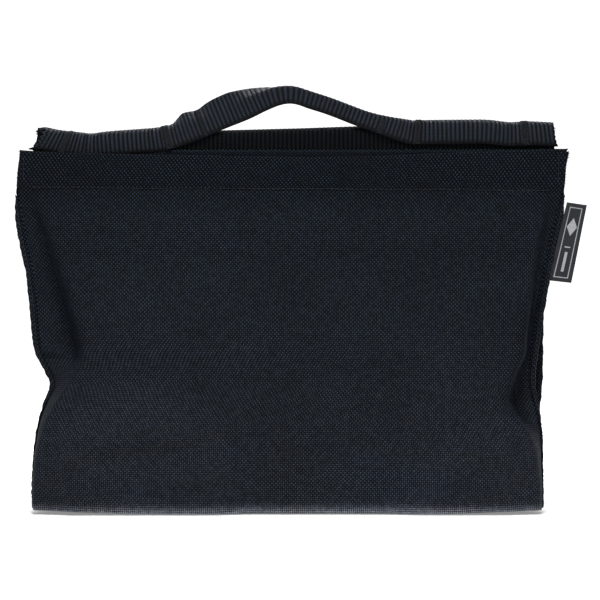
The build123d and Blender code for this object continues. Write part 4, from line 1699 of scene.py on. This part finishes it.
@dataclass
class Studio:
    """A pale sweep, soft lights and the camera."""

    camera_distance: float = 2.2116  # lengths of the studio are in metres
    camera_height: float = 0.1555
    lens: float = 179.6  # in millimetres
    near: float = 0.5  # radius of the floor that throws light up at the bag
    flat: float = 4.0  # radius where the wide floor starts to curve up
    bend: float = 2.0  # radius of that curve
    wall: float = 3.0  # height of the wall over it
    near_glow: float = 0.25
    far_glow: float = 0.95
    surround: float = 0.15

    def build(self) -> None:
        """Sets up everything that isn't the bag."""
        self.sweep()
        self.lights()
        data = bpy.data.cameras.new("camera")
        data.lens = self.lens
        data.clip_end = 50
        camera = bpy.data.objects.new("camera", data)
        camera.location = (0, -self.camera_distance, self.camera_height)
        camera.rotation_euler = (math.pi / 2, 0, 0)
        bpy.context.scene.collection.objects.link(camera)
        bpy.context.scene.camera = camera

    def sweep(self) -> None:
        """A round floor under the bag, and a wide one round it that curves up into a wall."""
        turn = np.linspace(0, math.pi / 2, 16)
        wall = [(self.flat + self.bend * math.sin(a), self.bend * (1 - math.cos(a))) for a in turn]
        wall += [(self.flat + self.bend, self.bend + self.wall)]
        near = self.turned("studio_floor", [(0.001, 0.0), (self.near, 0.0)], FLOOR_PAINT)
        far = self.turned("studio_sweep", [(self.near, 0.0), *wall], WALL_PAINT)
        far.visible_diffuse = False  # so that the sides of the bag stay a little darker than its front
        for stage, strength in ((near, self.near_glow), (far, self.far_glow)):
            glow = stage.data.materials[0].node_tree.nodes["Principled BSDF"]
            glow.inputs["Emission Color"].default_value = (1, 1, 1, 1)
            glow.inputs["Emission Strength"].default_value = strength

    @staticmethod
    def turned(name: str, line: list[tuple[float, float]], finish: Finish) -> bpy.types.Object:
        """A surface of revolution about the upright axis.

        Args:
            name: of the object.
            line: radius and height of each point, in metres.
            finish: what it is painted with.

        Returns:
            The object.
        """
        angles = np.linspace(0, math.tau, 96, endpoint=False)
        rings = [np.stack([r * np.cos(angles), r * np.sin(angles), z + 0 * angles], -1) for r, z in line]
        return add_piece(name, round_patch(np.stack(rings) / MM, False), finish)

    def lights(self) -> None:
        """Big soft lights above, in front and at the sides, and an even surround."""
        for name, place, aim, size, power in (
            ("top_softbox", (0.0, -0.9, 2.2), (0, 0, 0.15), 0.8, 52.0),
            ("rear_softbox", (0.0, 1.3, 2.0), (0, 0, 0.15), 0.8, 32.0),
            ("left_softbox", (-2.2, -1.6, 0.7), (0, 0, 0.1), 1.2, 4.0),
            ("right_softbox", (2.2, -1.6, 0.7), (0, 0, 0.1), 1.2, 4.0),
            ("low_softbox", (0.0, -0.6, 0.02), (0, 0, 0.02), 0.4, 0.5),
        ):
            data = bpy.data.lights.new(name, "AREA")
            data.size = size
            data.energy = power
            lamp = bpy.data.objects.new(name, data)
            lamp.location = place
            lamp.visible_camera = False
            way = Vector(aim) - Vector(place)
            lamp.rotation_euler = way.to_track_quat("-Z", "Y").to_euler()
            bpy.context.scene.collection.objects.link(lamp)
        bpy.context.scene.view_settings.view_transform = "Standard"
        world = bpy.data.worlds.new("surround")
        world.use_nodes = True
        surround = world.node_tree.nodes["Background"]
        surround.inputs["Color"].default_value = (1, 1, 1, 1)
        surround.inputs["Strength"].default_value = self.surround
        bpy.context.scene.world = world


# Heights of the mouths' edges and of the inner cloths' tops, along the bag.
FRONT_MOUTH: Points = (
    (-204, 266.4), (-197, 265.6), (-184, 264.6), (-134, 263.2), (-77, 262.1), (7, 260.7), (51, 261.0),
    (88, 262.6), (120, 264.1), (151, 265.2), (167, 265.9), (196, 266.7), (204, 266.6),
)
REAR_MOUTH: Points = ((-200, 266.0), (-100, 263.0), (30, 261.5), (120, 263.5), (204, 266.0))
FRONT_PANEL_TOP: Points = ((-200, 266.0), (204, 266.5))
REAR_PANEL_TOP: Points = (
    (-200, 280.0), (-187, 282.4), (-184, 284.4), (-171, 281.4), (-155, 278.4), (-147, 274.0),
    (-138, 267.0), (204, 266.5),
)


def main() -> None:
    """Builds every sub-assembly in order."""
    logging.basicConfig(level=logging.INFO, format="%(message)s")
    for pouch in (
        SandPouch(Side.FRONT, FRONT_SECTIONS, 11, FRONT_MOUTH, FRONT_PANEL_TOP),
        SandPouch(Side.REAR, REAR_SECTIONS, 57, REAR_MOUTH, REAR_PANEL_TOP),
    ):
        pouch.build()
        Zip(pouch.side).build()
        LOG.info("built the %s pouch", pouch.side.word)
    Ridge().build()
    Handle().build()
    SideLabel().build()
    Studio().build()


if __name__ == "__main__":
    main()
